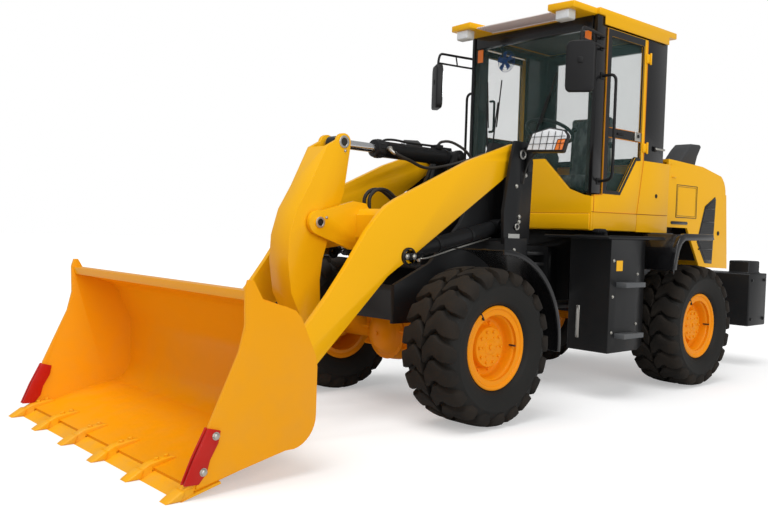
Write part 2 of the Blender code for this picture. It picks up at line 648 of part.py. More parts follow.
def rear_frame():
    """Two beams, the fork that holds the hinge pin, and the stands of the cab and the tanks."""
    beams = both(block((BEAM_X[0], 1.60, FRAME_BOTTOM), (BEAM_X[1], WEIGHT_FRONT - SEAT_GAP, REAR_TOP)))
    pieces = beams
    pieces.append(block((-0.20, 1.40, 0.52), (0.20, 1.44, 1.10)))
    pieces += both(block((0.10, 1.42, 0.52), (0.14, 1.64, 1.10)))
    pieces.append(block((-BEAM_X[1], 1.60, FRAME_BOTTOM), (BEAM_X[1], 1.64, 1.10)))
    pieces.append(block((-BEAM_X[0] - 0.01, 2.20, 0.70), (BEAM_X[0] + 0.01, 2.24, REAR_TOP - LAP)))
    for engine_end in (2.72, 3.28):
        pieces.append(block((-BEAM_X[0] - 0.01, engine_end, ENGINE_BOTTOM - 0.05),
                            (BEAM_X[0] + 0.01, engine_end + 0.05, ENGINE_BOTTOM - SEAT_GAP)))
    pieces.append(block((-BEAM_X[0] - 0.01, 3.80, FRAME_BOTTOM), (BEAM_X[0] + 0.01, WEIGHT_FRONT - SEAT_GAP,
                                                                REAR_TOP)))
    fork = ([(-0.17, 1.42), (-0.15, 1.34), (-HINGE_RADIUS, ARTICULATION_Y + 0.03)]
            + arc((0, ARTICULATION_Y), HINGE_RADIUS, 180, 360)
            + [(HINGE_RADIUS, ARTICULATION_Y + 0.03), (0.15, 1.34), (0.17, 1.42)])
    for level in HINGE_LEVELS:
        for direction in (-1, 1):
            near = level + direction * (LUG_THICK / 2 + FORK_GAP)
            far = near + direction * 0.025
            pieces.append(flat(fork, min(near, far), max(near, far), "Z"))
        pieces.append(pin((0, ARTICULATION_Y), 0.065, HINGE_PIN_RADIUS, level))
    floor_seat = CAB_FLOOR + LAP - SEAT_GAP
    pieces.append(block((-0.56, 1.58, 1.06), (0.56, 1.66, floor_seat)))
    pieces += both(block((BEAM_X[0], 2.26, REAR_TOP - 0.02), (BEAM_X[1], 2.34, CAB_FLOOR - 0.04)))
    pieces.append(block((-0.56, 2.26, CAB_FLOOR - 0.06), (0.56, 2.34, floor_seat)))
    base_x, base_y = STEER_BASE
    for level in (STEER_Z + 0.042, STEER_Z - 0.042):
        ear = [(0.25, base_y - 0.03), (base_x, base_y - 0.04), (base_x + 0.04, base_y), (base_x, base_y + 0.05),
               (0.25, base_y + 0.09)]
        pieces += both(flat(ear, level - 0.009, level + 0.009, "Z"))
    pieces += both(pin(STEER_BASE, 0.055, STEER_PIN_RADIUS, STEER_Z))
    pieces += both(block((BEAM_X[1] - 0.01, 1.86, 0.70), (TANK_INNER - SEAT_GAP, 1.92, 0.80)))
    return fused(pieces)


node("rear_frame", rear_frame(), CHARCOAL, 0.5)

# ---------------------------------------------------------------- tanks with steps
STEP_LEVELS = (0.47, 0.84)


def side_tank():
    """A tall tank with a chamfered back corner, a top plate and two treads on its outer side."""
    plan = [(TANK_INNER, TANK_FRONT), (TANK_OUTER, TANK_FRONT), (TANK_OUTER, 1.66), (0.74, TANK_BACK - 0.02),
            (TANK_INNER, TANK_BACK)]
    body = flat(plan, TANK_BOTTOM, PLATFORM - 0.02, "Z")
    top = block((0.30, TANK_FRONT - 0.06, PLATFORM - 0.03), (TANK_OUTER + 0.02, 1.98, PLATFORM - 0.01))
    pieces = [body, top]
    for level in STEP_LEVELS:
        pieces.append(block((TANK_OUTER - 0.02, 1.36, level), (TANK_OUTER + 0.075, 1.60, level + 0.022)))
    return fused(pieces, [block((0.25, 1.55, PLATFORM - 0.155), (0.565, 1.67, PLATFORM + 0.1))])


tank = side_tank()
tank_right = mirrored(tank)
node("side_tank_left", tank, CHARCOAL, 0.45)
node("side_tank_right", tank_right, CHARCOAL, 0.45)


def rear_mudguard():
    """A folded sheet over the front of the rear wheel, with a lip along its outer edge."""
    line = [(1.995, 0.95), (2.03, 1.12), (2.12, 1.225), (2.62, 1.225)]
    under = [(y + 0.008, z - 0.008) for y, z in line]
    sheet = flat(line + under[::-1], 0.60, 0.93, "X")
    lip = [(y + 0.02, z - 0.035) for y, z in line]
    edge = flat(line + lip[::-1], 0.918, 0.93, "X")
    bracket = block((0.60 + LAP, 2.15, 1.22), (0.64, 2.50, CAB_FLOOR - SEAT_GAP))
    return fused([sheet, edge, bracket])


flare = rear_mudguard()
flare_right = mirrored(flare)
node("rear_mudguard_left", flare, CHARCOAL, 0.25)
node("rear_mudguard_right", flare_right, CHARCOAL, 0.25)


# ---------------------------------------------------------------- cab
WALL = 0.025
DOOR_SEAL = 0.004
DOOR_FRONT_LOW = CAB_FRONT + WALL + DOOR_SEAL
DOOR_FRONT = 1.47
DOOR_BACK_LOW = 1.955
DOOR_BACK = 2.03
DOOR_TOP = 2.745
POST_FACE = CAB_HALF - 0.004         # outer face of the cab's posts
HOOD_FRONT = CAB_BACK + 0.022
HOOD_HALF = 0.60
HOOD_WALL = 0.02
HOOD_HINGE = (HOOD_FRONT + 0.035, 1.80)
HOOD_PIN_RADIUS = 0.012
HOOD_RIDGE = ((HOOD_FRONT, 1.85), (3.03, 1.825))   # the top's front and back corners, as (y, z)


def cab_lower_body():
    """Floor, stepped front wall, quarter panels behind the doors and the back wall."""
    half = CAB_HALF - 0.02
    crest = [(CAB_HALF, CAB_FLOOR), (CAB_HALF, 1.485), (0.54, 1.50), (0.41, 1.545), (0.17, 1.78)]
    front = crest + [(-x, z) for x, z in crest[::-1]]
    pieces = [flat(front, CAB_FRONT, CAB_FRONT + WALL, "Y")]
    pieces.append(block((-half + 0.02, CAB_FRONT + 0.01, CAB_FLOOR + LAP), (half - 0.02, CAB_BACK - 0.01,
                                                                     CAB_FLOOR + WALL)))
    quarter = [(DOOR_BACK_LOW + 0.006, CAB_FLOOR), (CAB_BACK, CAB_FLOOR), (CAB_BACK, CAB_WAIST),
               (DOOR_BACK + 0.006, CAB_WAIST), (DOOR_BACK + 0.006, 1.78), (DOOR_BACK_LOW + 0.016, 1.40)]
    pieces += both(flat(quarter, CAB_HALF - WALL, CAB_HALF, "X"))
    pieces.append(block((-CAB_HALF + 0.01, CAB_BACK - WALL - LAP, CAB_FLOOR + 2 * LAP),
                        (CAB_HALF - 0.01, CAB_BACK - LAP, CAB_WAIST - LAP)))
    pieces += both(block((half - 0.03, 2.05, CAB_FLOOR + 2 * LAP), (CAB_HALF - 0.01, 2.12, CAB_FLOOR + WALL - LAP)))
    hinge_y, hinge_z = HOOD_HINGE
    ear = [(CAB_BACK - 0.01, hinge_z - 0.075), (CAB_BACK - 0.01, hinge_z - 0.035)] + arc(HOOD_HINGE, 0.018, 130, -50)
    pieces += both(flat(ear, 0.50, 0.53, "X"))
    pieces += both(rod(side(HOOD_HINGE, 0.50 + LAP), side(HOOD_HINGE, HOOD_HALF - LAP), HOOD_PIN_RADIUS, PIN_FACETS))
    return fused(pieces)


node("cab_lower_body", cab_lower_body(), YELLOW, 0.35)


def cab_frame():
    """Dark posts and rails: two front posts, two broad back posts and the rails that join their tops."""
    low = CAB_WAIST + SEAT_GAP
    top = DOOR_TOP + 0.075
    front_post = [(CAB_FRONT + WALL + SEAT_GAP, CAB_FLOOR + WALL + SEAT_GAP),
                  (CAB_FRONT + WALL + 0.04, CAB_FLOOR + WALL + SEAT_GAP), (DOOR_FRONT - DOOR_SEAL, 1.53),
                  (DOOR_FRONT - DOOR_SEAL, top), (CAB_FRONT + WALL + SEAT_GAP, top)]
    pieces = both(flat(front_post, CAB_HALF - 0.065, CAB_HALF - 0.03, "X"))
    post_skin = [(CAB_FRONT, 1.51), (DOOR_FRONT - DOOR_SEAL, 1.51), (DOOR_FRONT - DOOR_SEAL, top),
                 (CAB_FRONT, top)]
    pieces += both(flat(post_skin, CAB_HALF - 0.032, POST_FACE, "X"))
    pieces += both(block((CAB_HALF - 0.06, DOOR_BACK + 0.008, low), (POST_FACE, 2.33, top)))
    pieces += both(block((CAB_HALF - 0.16, 2.30, low), (POST_FACE, 2.33, top)))
    pieces.append(block((-CAB_HALF + 0.05, CAB_FRONT, DOOR_TOP - 0.02), (CAB_HALF - 0.05, CAB_FRONT + 0.05, top)))
    pieces.append(block((-CAB_HALF + 0.05, 2.30, DOOR_TOP - 0.02), (CAB_HALF - 0.05, 2.33, top)))
    pieces += both(block((CAB_HALF - 0.065, CAB_FRONT + 0.02, DOOR_TOP + DOOR_SEAL),
                         (CAB_HALF - 0.034, 2.32, top)))
    pieces.append(block((-CAB_HALF + 0.05, 2.30, low), (CAB_HALF - 0.05, 2.33, low + 0.05)))
    return fused(pieces)


node("cab_frame", cab_frame(), CHARCOAL, 0.4)


def cab_roof():
    """A slab with a drop on each side and two horns at the front that carry the work lamps."""
    under = DOOR_TOP + 0.075 + SEAT_GAP
    slab = [(-0.60, 1.36), (-0.60, 1.06), (-0.38, 1.04), (-0.36, 1.30), (0.36, 1.30), (0.38, 1.04), (0.60, 1.06),
            (0.60, 1.36), (0.60, 2.44), (-0.60, 2.44)]
    plate = flat(slab, under, ROOF_TOP - 0.015, "Z")
    crown = block((-0.50, 1.34, ROOF_TOP - 0.03), (0.50, 2.38, ROOF_TOP))
    skirts = both(block((POST_FACE + SEAT_GAP, CAB_FRONT + 0.08, DOOR_TOP + 0.012),
                        (CAB_HALF + 0.012, 2.33, under + 0.02)))
    rims = both(block((CAB_HALF - 0.06, CAB_FRONT, under), (CAB_HALF + 0.012, 2.44, ROOF_TOP - 0.015)))
    return fused([plate, crown, *skirts, *rims])


node("cab_roof", cab_roof(), YELLOW, 0.35)

GLASS = (0.72, 0.86, 0.82)
GLASS_THICK = 0.006


def windscreen():
    """The front pane, stepped below like the wall that it stands on."""
    half = CAB_HALF - 0.032 - SEAT_GAP
    edge = [(0.18, 1.7815), (0.42, 1.555), (0.535, 1.512), (half, 1.515), (half, DOOR_TOP - 0.0215)]
    pane = edge + [(-x, z) for x, z in edge[::-1]]
    return flat(pane, CAB_FRONT + 0.012, CAB_FRONT + 0.012 + GLASS_THICK, "Y")


node("windscreen", windscreen(), GLASS, 0.05)
node("rear_window", block((-CAB_HALF + 0.162, 2.31, CAB_WAIST + 0.0506), (CAB_HALF - 0.162, 2.31 + GLASS_THICK,
                                                                   DOOR_TOP - 0.0206)), GLASS, 0.05)

glass_outline = [(1.505, 1.517), (1.71, 1.517), (1.915, 1.795), (2.0, 1.795), (2.0, 2.71), (1.505, 2.71)]
window = [(1.525, 1.535), (1.70, 1.535), (1.91, 1.815), (1.98, 1.815), (1.98, 2.69), (1.525, 2.69)]
HINGE_X = CAB_HALF + 0.012
HINGE_Y = DOOR_BACK + 0.020


def door():
    """A door's lower panel and window frame in one pressing, with a rail across its window."""
    outline = [(DOOR_FRONT_LOW, CAB_FLOOR + 0.004), (DOOR_BACK_LOW, CAB_FLOOR + 0.004), (DOOR_BACK_LOW + 0.01, 1.40),
               (DOOR_BACK, 1.78), (DOOR_BACK, DOOR_TOP), (DOOR_FRONT, DOOR_TOP), (DOOR_FRONT, 1.505),
               (DOOR_FRONT_LOW, 1.50)]
    panel = flat(outline, CAB_HALF - WALL, CAB_HALF, "X")
    hole = flat(window, CAB_HALF - 0.1, CAB_HALF + 0.1, "X")
    rail = block((CAB_HALF - WALL + LAP, 1.50, 1.94), (CAB_HALF - LAP, 2.00, 2.01))
    straps = [rod((HINGE_X + 0.003, HINGE_Y, level - 0.045), (HINGE_X + 0.003, HINGE_Y, level + 0.045), 0.009, 16)
              for level in (1.90, 2.60)]
    leaves = [block((POST_FACE + SEAT_GAP, DOOR_BACK - 0.03, level - 0.035), (CAB_HALF + 0.010, HINGE_Y, level + 0.035))
              for level in (1.90, 2.60)]
    body = boolean(panel, hole, "DIFFERENCE")
    return fused([body, rail, *straps, *leaves])


def door_glass():
    """The pane that is glued to the inside of a door's frame."""
    outer = CAB_HALF - WALL - SEAT_GAP
    return flat(glass_outline, outer - GLASS_THICK, outer, "X")


door_panel = door()
door_right = mirrored(door_panel)
pane_left = door_glass()
pane_right = mirrored(pane_left)
node("door_left", door_panel, YELLOW, 0.35)
node("door_right", door_right, YELLOW, 0.35)
node("door_glass_left", pane_left, GLASS, 0.05)
node("door_glass_right", pane_right, GLASS, 0.05)


# ---------------------------------------------------------------- cab inside
WHEEL_CENTRE = Vector((0, 1.625, 2.03))
WHEEL_AXIS = Vector((0, 0.105, 0.235)).normalized()
HUB_DEPTH = 0.045


def console():
    """The dash behind the windscreen and the column that carries the steering wheel."""
    dash = [(CAB_FRONT + 0.03, CAB_FLOOR + WALL + SEAT_GAP), (1.50, CAB_FLOOR + WALL + SEAT_GAP), (1.50, 1.55),
            (1.55, 1.80), (1.48, 1.92), (1.40, 1.90), (CAB_FRONT + 0.03, 1.78)]
    column = rod((0, 1.50, 1.75), WHEEL_CENTRE - WHEEL_AXIS * (HUB_DEPTH + SEAT_GAP), 0.03, 16)
    return fused([flat(dash, -0.16, 0.16, "X"), column])


node("console", console(), CHARCOAL, 0.6)

def steering_wheel():
    bpy.ops.mesh.primitive_torus_add(major_radius=0.19, minor_radius=0.014, major_segments=20, minor_segments=6)
    ring = bpy.context.object
    ring.rotation_euler = WHEEL_AXIS.to_track_quat("Z", "Y").to_euler()
    ring.location = WHEEL_CENTRE
    across = Vector((1, 0, 0))
    along = WHEEL_AXIS.cross(across)
    hub = rod(WHEEL_CENTRE - WHEEL_AXIS * HUB_DEPTH, WHEEL_CENTRE + WHEEL_AXIS * 0.005, 0.045, 16)
    spokes = [rod(WHEEL_CENTRE - WHEEL_AXIS * 0.01, WHEEL_CENTRE + spoke * 0.185, 0.009, 8)
              for spoke in (across, -across, along)]
    return fused([baked(ring), hub, *spokes])


node("steering_wheel", steering_wheel(), CHARCOAL, 0.5)


def seat():
    """A cushion and a tall back on a box."""
    floor = CAB_FLOOR + WALL + SEAT_GAP
    base = block((-0.20, 1.86, floor), (0.20, 2.24, 1.56))
    cushion = flat([(1.80, 1.55), (2.26, 1.55), (2.26, 1.66), (1.82, 1.70), (1.78, 1.64)], -0.25, 0.25, "X")
    back = flat([(2.12, 1.60), (2.25, 1.60), (2.285, 2.22), (2.20, 2.25), (2.17, 2.20)], -0.23, 0.23, "X")
    return fused([base, cushion, back])


node("driver_seat", seat(), (0.05, 0.06, 0.055), 0.6)


# ---------------------------------------------------------------- hood, exhaust, engine and counterweight
def hood():
    """A one-piece engine cover, open in front and below."""
    outline = [(HOOD_FRONT, 1.285), (2.80, 1.285), (3.04, 0.95), (3.56, 0.93), (3.49, 1.60)] + arc(
        (3.29, 1.60), 0.185, 0, 62, 5) + [HOOD_RIDGE[1], HOOD_RIDGE[0]]
    body = flat(outline, -HOOD_HALF, HOOD_HALF, "X")
    hollow = [(HOOD_FRONT - 0.2, 0.5), (3.53, 0.5), (3.53, 0.95), (3.468, 1.60)] + arc(
        (3.29, 1.60), 0.163, 0, 62, 5) + [(3.03, 1.803), (HOOD_FRONT - 0.2, 1.828)]
    cut = flat(hollow, -HOOD_HALF + HOOD_WALL, HOOD_HALF - HOOD_WALL, "X")
    return fused([body], [cut, pin(HOOD_HINGE, 1, HOOD_PIN_RADIUS + PIN_GAP)])


def hood_top(y):
    """Just above the hood's flat top at a place along it."""
    (front, high), (back, low) = HOOD_RIDGE
    return high + (low - high) * (y - front) / (back - front) + SEAT_GAP


node("engine_hood", hood(), YELLOW, 0.35)
cowl_outline = [(2.86, hood_top(2.86)), (3.03, hood_top(3.03)), (3.15, 1.806), (3.20, 1.93), (3.27, 2.03),
                (3.24, 2.045), (3.10, 2.04), (3.03, 1.99)]
node("exhaust_cowl", flat(cowl_outline, 0.28, 0.46, "X"), (0.10, 0.10, 0.11), 0.5)
node("engine_block", block((-0.15, 2.56, ENGINE_BOTTOM), (0.15, 3.36, 1.50)), (0.10, 0.10, 0.10), 0.6)


def counterweight():
    """A heavy cast block across the tail, with a lamp box on each end of its top."""
    body = block((-0.68, WEIGHT_FRONT, 0.385), (0.68, REAR_REACH, 0.882))
    boxes = both(block((0.44, 3.93, 0.872), (0.64, 4.16, 1.0)))
    return fused([body, *boxes])


node("counterweight", counterweight(), CHARCOAL, 0.55)


# ---------------------------------------------------------------- mirrors
def mirror():
    """A bent stay from the front post and the mirror's shell."""
    post = POST_FACE + SEAT_GAP
    stay = tube([(post, 1.40, 2.66), (0.64, 1.40, 2.66), (0.66, 1.30, 2.66), (0.70, 1.06, 2.66), (0.70, 1.02, 2.60),
                 (0.70, 1.02, 2.40)], 0.010)
    lower = tube([(post, 1.40, 2.58), (0.64, 1.40, 2.58), (0.66, 1.30, 2.58), (0.70, 1.02, 2.58)], 0.008)
    shell = flat([(0.61, 2.20), (0.79, 2.20), (0.80, 2.24), (0.80, 2.53), (0.78, 2.56), (0.62, 2.56), (0.60, 2.53),
                  (0.60, 2.24)], 0.99, 1.05, "Y")
    return fused([shell, stay, lower])


def grab_rail():
    """A bent tube beside the front post for climbing in."""
    post = POST_FACE + SEAT_GAP
    return tube([(post, 1.42, 2.38), (0.70, 1.42, 2.38), (0.735, 1.42, 2.34), (0.735, 1.42, 1.67), (0.70, 1.42, 1.60),
                 (post, 1.42, 1.60)], 0.011)


mirror_left = mirror()
mirror_right = mirrored(mirror_left)
node("mirror_left", mirror_left, CHARCOAL, 0.5)
node("mirror_right", mirror_right, CHARCOAL, 0.5)
rail_left = grab_rail()
rail_right = mirrored(rail_left)
node("grab_rail_left", rail_left, CHARCOAL, 0.5)
node("grab_rail_right", rail_right, CHARCOAL, 0.5)


# ---------------------------------------------------------------- joints: what carries what
JOINTS = (
    # empty, its parent, its place, and the nodes that move with it
    ("machine", None, (0, 0, 0), ("rear_frame", "rear_axle", "side_tank_left", "side_tank_right",
                                  "rear_mudguard_left", "rear_mudguard_right", "cab_lower_body", "cab_frame",
                                  "cab_roof", "windscreen", "rear_window", "console", "steering_wheel",
                                  "driver_seat", "engine_block", "counterweight", "mirror_left",
                                  "mirror_right", "grab_rail_left", "grab_rail_right")),
    ("articulation", "machine", (0, ARTICULATION_Y, HINGE_LEVELS[0]),
     ("front_frame", "front_axle", "front_mudguard_left", "front_mudguard_right", "headlamp_left",
      "headlamp_right")),
    ("lift", "articulation", side(ARM_PIVOT, 0), ("lift_arms",)),
    ("bucket_tilt", "lift", side(BUCKET_PIN, 0), ("bucket", "cutting_edge")),
    ("link_turn", "bucket_tilt", side(LINK_PIN, 0), ("tilt_link",)),
    ("lever_turn", "lift", side(LEVER_PIN, 0), ("bellcrank",)),
    ("lift_barrel_turn", "articulation", side(LIFT_BASE, 0), ("lift_barrel_left", "lift_barrel_right")),
    ("lift_rod_slide", "lift_barrel_turn", side(LIFT_EYE, 0), ("lift_rod_left", "lift_rod_right")),
    ("tilt_barrel_turn", "articulation", side(TILT_BASE, 0), ("tilt_barrel",)),
    ("tilt_rod_slide", "tilt_barrel_turn", side(LEVER_TOP, 0), ("tilt_rod",)),
    ("steer_turn_left", "machine", (STEER_BASE[0], STEER_BASE[1], STEER_Z), ("steer_barrel_left",)),
    ("steer_slide_left", "steer_turn_left", (STEER_EYE[0], STEER_EYE[1], STEER_Z), ("steer_rod_left",)),
    ("steer_turn_right", "machine", (-STEER_BASE[0], STEER_BASE[1], STEER_Z), ("steer_barrel_right",)),
    ("steer_slide_right", "steer_turn_right", (-STEER_EYE[0], STEER_EYE[1], STEER_Z), ("steer_rod_right",)),
    ("door_turn_left", "machine", (HINGE_X, HINGE_Y, 2.25), ("door_left", "door_glass_left")),
    ("door_turn_right", "machine", (-HINGE_X, HINGE_Y, 2.25), ("door_right", "door_glass_right")),
    ("hood_turn", "machine", side(HOOD_HINGE, 0), ("engine_hood", "exhaust_cowl")),
    ("front_left_spin", "articulation", (TRACK / 2, 0, TYRE_RADIUS), ("front_left_tyre", "front_left_rim")),
    ("front_right_spin", "articulation", (-TRACK / 2, 0, TYRE_RADIUS), ("front_right_tyre", "front_right_rim")),
    ("rear_left_spin", "machine", (TRACK / 2, WHEELBASE, TYRE_RADIUS), ("rear_left_tyre", "rear_left_rim")),
    ("rear_right_spin", "machine", (-TRACK / 2, WHEELBASE, TYRE_RADIUS), ("rear_right_tyre", "rear_right_rim")),
)


def assemble():
    """Hangs every node on the empty of its joint, and centres the machine over its origin."""
    places = {name: Vector(place) for name, _, place, _ in JOINTS}
    empties = {}
    for name, parent, place, members in JOINTS:
        empty = bpy.data.objects.new(name, None)
        MACHINE.objects.link(empty)
        empties[name] = empty
        if parent:
            empty.parent = empties[parent]
            empty.location = places[name] - places[parent]
        else:
            empty.location = (0, (FRONT_REACH - REAR_REACH) / 2, 0)
        for member in members:
            obj = bpy.data.objects[member]
            obj.parent = empty
            obj.data.transform(Matrix.Translation(-places[name]))
            obj.location = (0, 0, 0)


assemble()
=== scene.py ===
"""Looks of the articulated wheel loader: finishes for every CAD node, and the shapes too fine for the CAD.

Metres, +Z up, bucket towards -Y, left side +X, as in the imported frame. Places along the machine are
written from the front axle, as a maker would measure them, and at() moves them into the frame.
"""

import json
import math

import bmesh
import bpy
from mathutils import Matrix, Vector


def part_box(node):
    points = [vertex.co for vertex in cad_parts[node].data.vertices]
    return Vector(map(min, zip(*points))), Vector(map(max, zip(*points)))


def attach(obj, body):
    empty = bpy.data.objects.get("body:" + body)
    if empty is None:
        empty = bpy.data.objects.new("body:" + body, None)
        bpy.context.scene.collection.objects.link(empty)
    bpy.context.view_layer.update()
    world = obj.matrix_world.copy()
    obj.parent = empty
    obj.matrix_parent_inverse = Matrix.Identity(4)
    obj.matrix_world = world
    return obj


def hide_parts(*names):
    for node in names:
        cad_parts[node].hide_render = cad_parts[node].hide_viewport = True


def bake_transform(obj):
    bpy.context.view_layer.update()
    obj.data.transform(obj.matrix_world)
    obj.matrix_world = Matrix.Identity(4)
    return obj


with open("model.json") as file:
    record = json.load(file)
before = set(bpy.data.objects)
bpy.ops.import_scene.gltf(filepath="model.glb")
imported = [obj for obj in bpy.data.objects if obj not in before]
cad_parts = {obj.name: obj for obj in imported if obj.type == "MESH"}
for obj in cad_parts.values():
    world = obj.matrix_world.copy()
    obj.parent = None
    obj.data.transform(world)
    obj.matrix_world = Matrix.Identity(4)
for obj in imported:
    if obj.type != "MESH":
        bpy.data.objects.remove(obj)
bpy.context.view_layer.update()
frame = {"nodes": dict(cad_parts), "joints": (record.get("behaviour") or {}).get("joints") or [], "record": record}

# ---------------------------------------------------------------- places taken from the frame
tyre_low, tyre_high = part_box("front_left_tyre")
TYRE_RADIUS = (tyre_high.z - tyre_low.z) / 2
AXLE_Y = (tyre_low.y + tyre_high.y) / 2
AXLE_X = (tyre_low.x + tyre_high.x) / 2
WHEEL_HEIGHT = (tyre_high.z + tyre_low.z) / 2
REAR_AXLE_Y = sum(corner.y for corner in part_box("rear_left_tyre")) / 2
JOINT_AT = {joint["name"]: Vector(joint["pos_m"]) for joint in frame["joints"]}
BODY_OF = {node: body for body, nodes in frame["record"]["behaviour"]["bodies"].items() for node in nodes}
SIDES = (("left", 1), ("right", -1))


def at(x, y, z):
    """A point given across, back from the front axle and up."""
    return Vector((x, y + AXLE_Y, z))


# ---------------------------------------------------------------- camera
CAMERA_PLACE = at(4.181, -3.899, 1.195)
CAMERA_AZIMUTH = math.radians(48.07)
CAMERA_DOWN = math.radians(2.09)
CAMERA_ROLL = math.radians(1.78)
LENS = 38.95


def add_camera():
    """Looks at the machine's front left corner from a little above the wheels."""
    level = math.cos(CAMERA_DOWN)
    back = Vector((math.sin(CAMERA_AZIMUTH) * level, -math.cos(CAMERA_AZIMUTH) * level, math.sin(CAMERA_DOWN)))
    right = Vector((0, 0, 1)).cross(back).normalized()
    up = back.cross(right)
    turn_cos, turn_sin = math.cos(CAMERA_ROLL), math.sin(CAMERA_ROLL)
    right, up = right * turn_cos + up * turn_sin, up * turn_cos - right * turn_sin
    lens = bpy.data.cameras.new("camera")
    lens.lens = LENS
    lens.sensor_width = 36
    camera = bpy.data.objects.new("camera", lens)
    bpy.context.scene.collection.objects.link(camera)
    camera.matrix_world = Matrix.Translation(CAMERA_PLACE) @ Matrix((right, up, back)).transposed().to_4x4()
    bpy.context.scene.camera = camera


add_camera()


# ---------------------------------------------------------------- finishes
class Wire:
    """A socket that can stand in a sum, so that a pattern is written as a formula."""

    def __init__(self, finish, socket):
        self.finish = finish
        self.socket = socket

    def math(self, operation, *others):
        return self.finish.make("ShaderNodeMath", {"operation": operation}, dict(enumerate((self, *others))))

    def __add__(self, other):
        return self.math("ADD", other)

    __radd__ = __add__

    def __mul__(self, other):
        return self.math("MULTIPLY", other)

    __rmul__ = __mul__

    def __sub__(self, other):
        return self.math("SUBTRACT", other)

    def __rsub__(self, other):
        return self.finish.make("ShaderNodeMath", {"operation": "SUBTRACT"}, {0: other, 1: self})

    def __truediv__(self, other):
        return self.math("DIVIDE", other)

    def __pow__(self, other):
        return self.math("POWER", other)

    def above(self, edge, blur):
        """0 below the edge and 1 above it, turning over a width."""
        return self.finish.make("ShaderNodeMapRange", {"interpolation_type": "SMOOTHSTEP"},
            {"Value": self, "From Min": edge - blur, "From Max": edge + blur})


class Finish:
    """A Principled material and the nodes that feed it."""

    def __init__(self, name, colour, roughness, **settings):
        self.material = bpy.data.materials.new(name)
        self.material.use_nodes = True
        self.tree = self.material.node_tree
        self.shader = self.tree.nodes["Principled BSDF"]
        self.colour = (*colour, 1)
        self.feed("Base Color", self.colour)
        self.feed("Roughness", roughness)
        for socket, value in settings.items():
            self.feed(socket.replace("_", " "), value)

    def link(self, socket, value):
        if isinstance(value, Wire):
            self.tree.links.new(value.socket, socket)
        else:
            socket.default_value = value

    def feed(self, socket, value):
        self.link(self.shader.inputs[socket], value)

    def make(self, kind, settings=(), values=(), output=0):
        """A node of a kind, its settings first and then its sockets."""
        node = self.tree.nodes.new(kind)
        for name, value in dict(settings).items():
            setattr(node, name, value)
        for socket, value in dict(values).items():
            self.link(node.inputs[socket], value)
        return Wire(self, node.outputs[output])

    def place(self, stretch=(1, 1, 1), turn=(0, 0, 0)):
        spot = self.make("ShaderNodeTexCoord", output="Object")
        return self.make("ShaderNodeMapping", {}, {"Vector": spot, "Scale": stretch, "Rotation": turn})

    def axis(self, letter):
        spot = self.make("ShaderNodeTexCoord", output="Object")
        return self.make("ShaderNodeSeparateXYZ", {}, {0: spot}, output=letter)

    def noise(self, scale, detail=3.0, stretch=(1, 1, 1)):
        return self.make("ShaderNodeTexNoise", {}, {"Vector": self.place(stretch), "Scale": scale,
            "Detail": detail})

    def mix(self, share, low, high):
        """Between two colours, by a share."""
        node = self.tree.nodes.new("ShaderNodeMix")
        node.data_type = "RGBA"
        for socket, value in (("Factor_Float", share), ("A_Color", low), ("B_Color", high)):
            self.link(next(s for s in node.inputs if s.identifier == socket), value)
        return Wire(self, next(s for s in node.outputs if s.identifier == "Result_Color"))

    def bump(self, height, strength, distance=0.002):
        self.feed("Normal", self.make("ShaderNodeBump", {},
            {"Height": height, "Strength": strength, "Distance": distance}))


DUST = (0.30, 0.25, 0.19, 1)


def paint(name, colour, roughness=0.30, dust=0.04, coat=0.14, shine=0.18):
    """Sprayed enamel: a faint orange peel, cloudy fading, and a little dust that thins out with height."""
    finish = Finish(name, colour, roughness, Coat_Weight=coat, Coat_Roughness=0.10, Specular_IOR_Level=shine)
    cloud = finish.noise(2.2, 4)
    patch = finish.noise(9, 5)
    low = 1 - finish.axis("Z").above(0.55, 0.55)
    dirt = patch.above(0.52, 0.18) * low * dust
    faded = finish.mix(cloud * 0.30, finish.colour, tuple(min(1, c * 1.08 + 0.002) for c in colour) + (1,))
    finish.feed("Base Color", finish.mix(dirt, faded, DUST))
    finish.feed("Roughness", dirt * 0.4 + cloud * 0.10 + (roughness - 0.05))
    finish.bump(finish.noise(420, 1), 0.04, 0.0005)
    return finish.material


def bare_metal(name, colour, roughness, grain=(1, 1, 1)):
    finish = Finish(name, colour, roughness, Metallic=1.0)
    streak = finish.noise(60, 3, grain)
    finish.feed("Roughness", streak * 0.25 + (roughness - 0.08))
    return finish.material


def rubber(name, colour, roughness=0.75, dust=0.5, dust_colour=DUST):
    """Moulded rubber with dust in its pores."""
    finish = Finish(name, colour, roughness, Specular_IOR_Level=0.25)
    cloud = finish.noise(7, 5)
    pores = finish.noise(160, 3)
    share = cloud.above(0.45, 0.25) * dust
    finish.feed("Base Color", finish.mix(share, finish.colour, dust_colour))
    finish.feed("Roughness", share * 0.15 + roughness)
    finish.bump(pores, 0.25, 0.001)
    return finish.material


def plastic(name, colour, roughness=0.45):
    """Moulded plastic with a fine grain."""
    finish = Finish(name, colour, roughness, Specular_IOR_Level=0.30)
    grain = finish.noise(300, 2)
    finish.feed("Roughness", grain * 0.15 + (roughness - 0.05))
    finish.bump(grain, 0.12, 0.0006)
    return finish.material


def pane(name, tint, alpha):
    """Tinted window glass: mostly clear, glossy, a little denser where dust clings."""
    finish = Finish(name, tint, 0.03, Alpha=alpha)
    haze = finish.noise(3, 4)
    finish.feed("Alpha", haze * 0.05 + alpha)
    finish.shader.inputs["IOR"].default_value = 1.5
    return finish.material


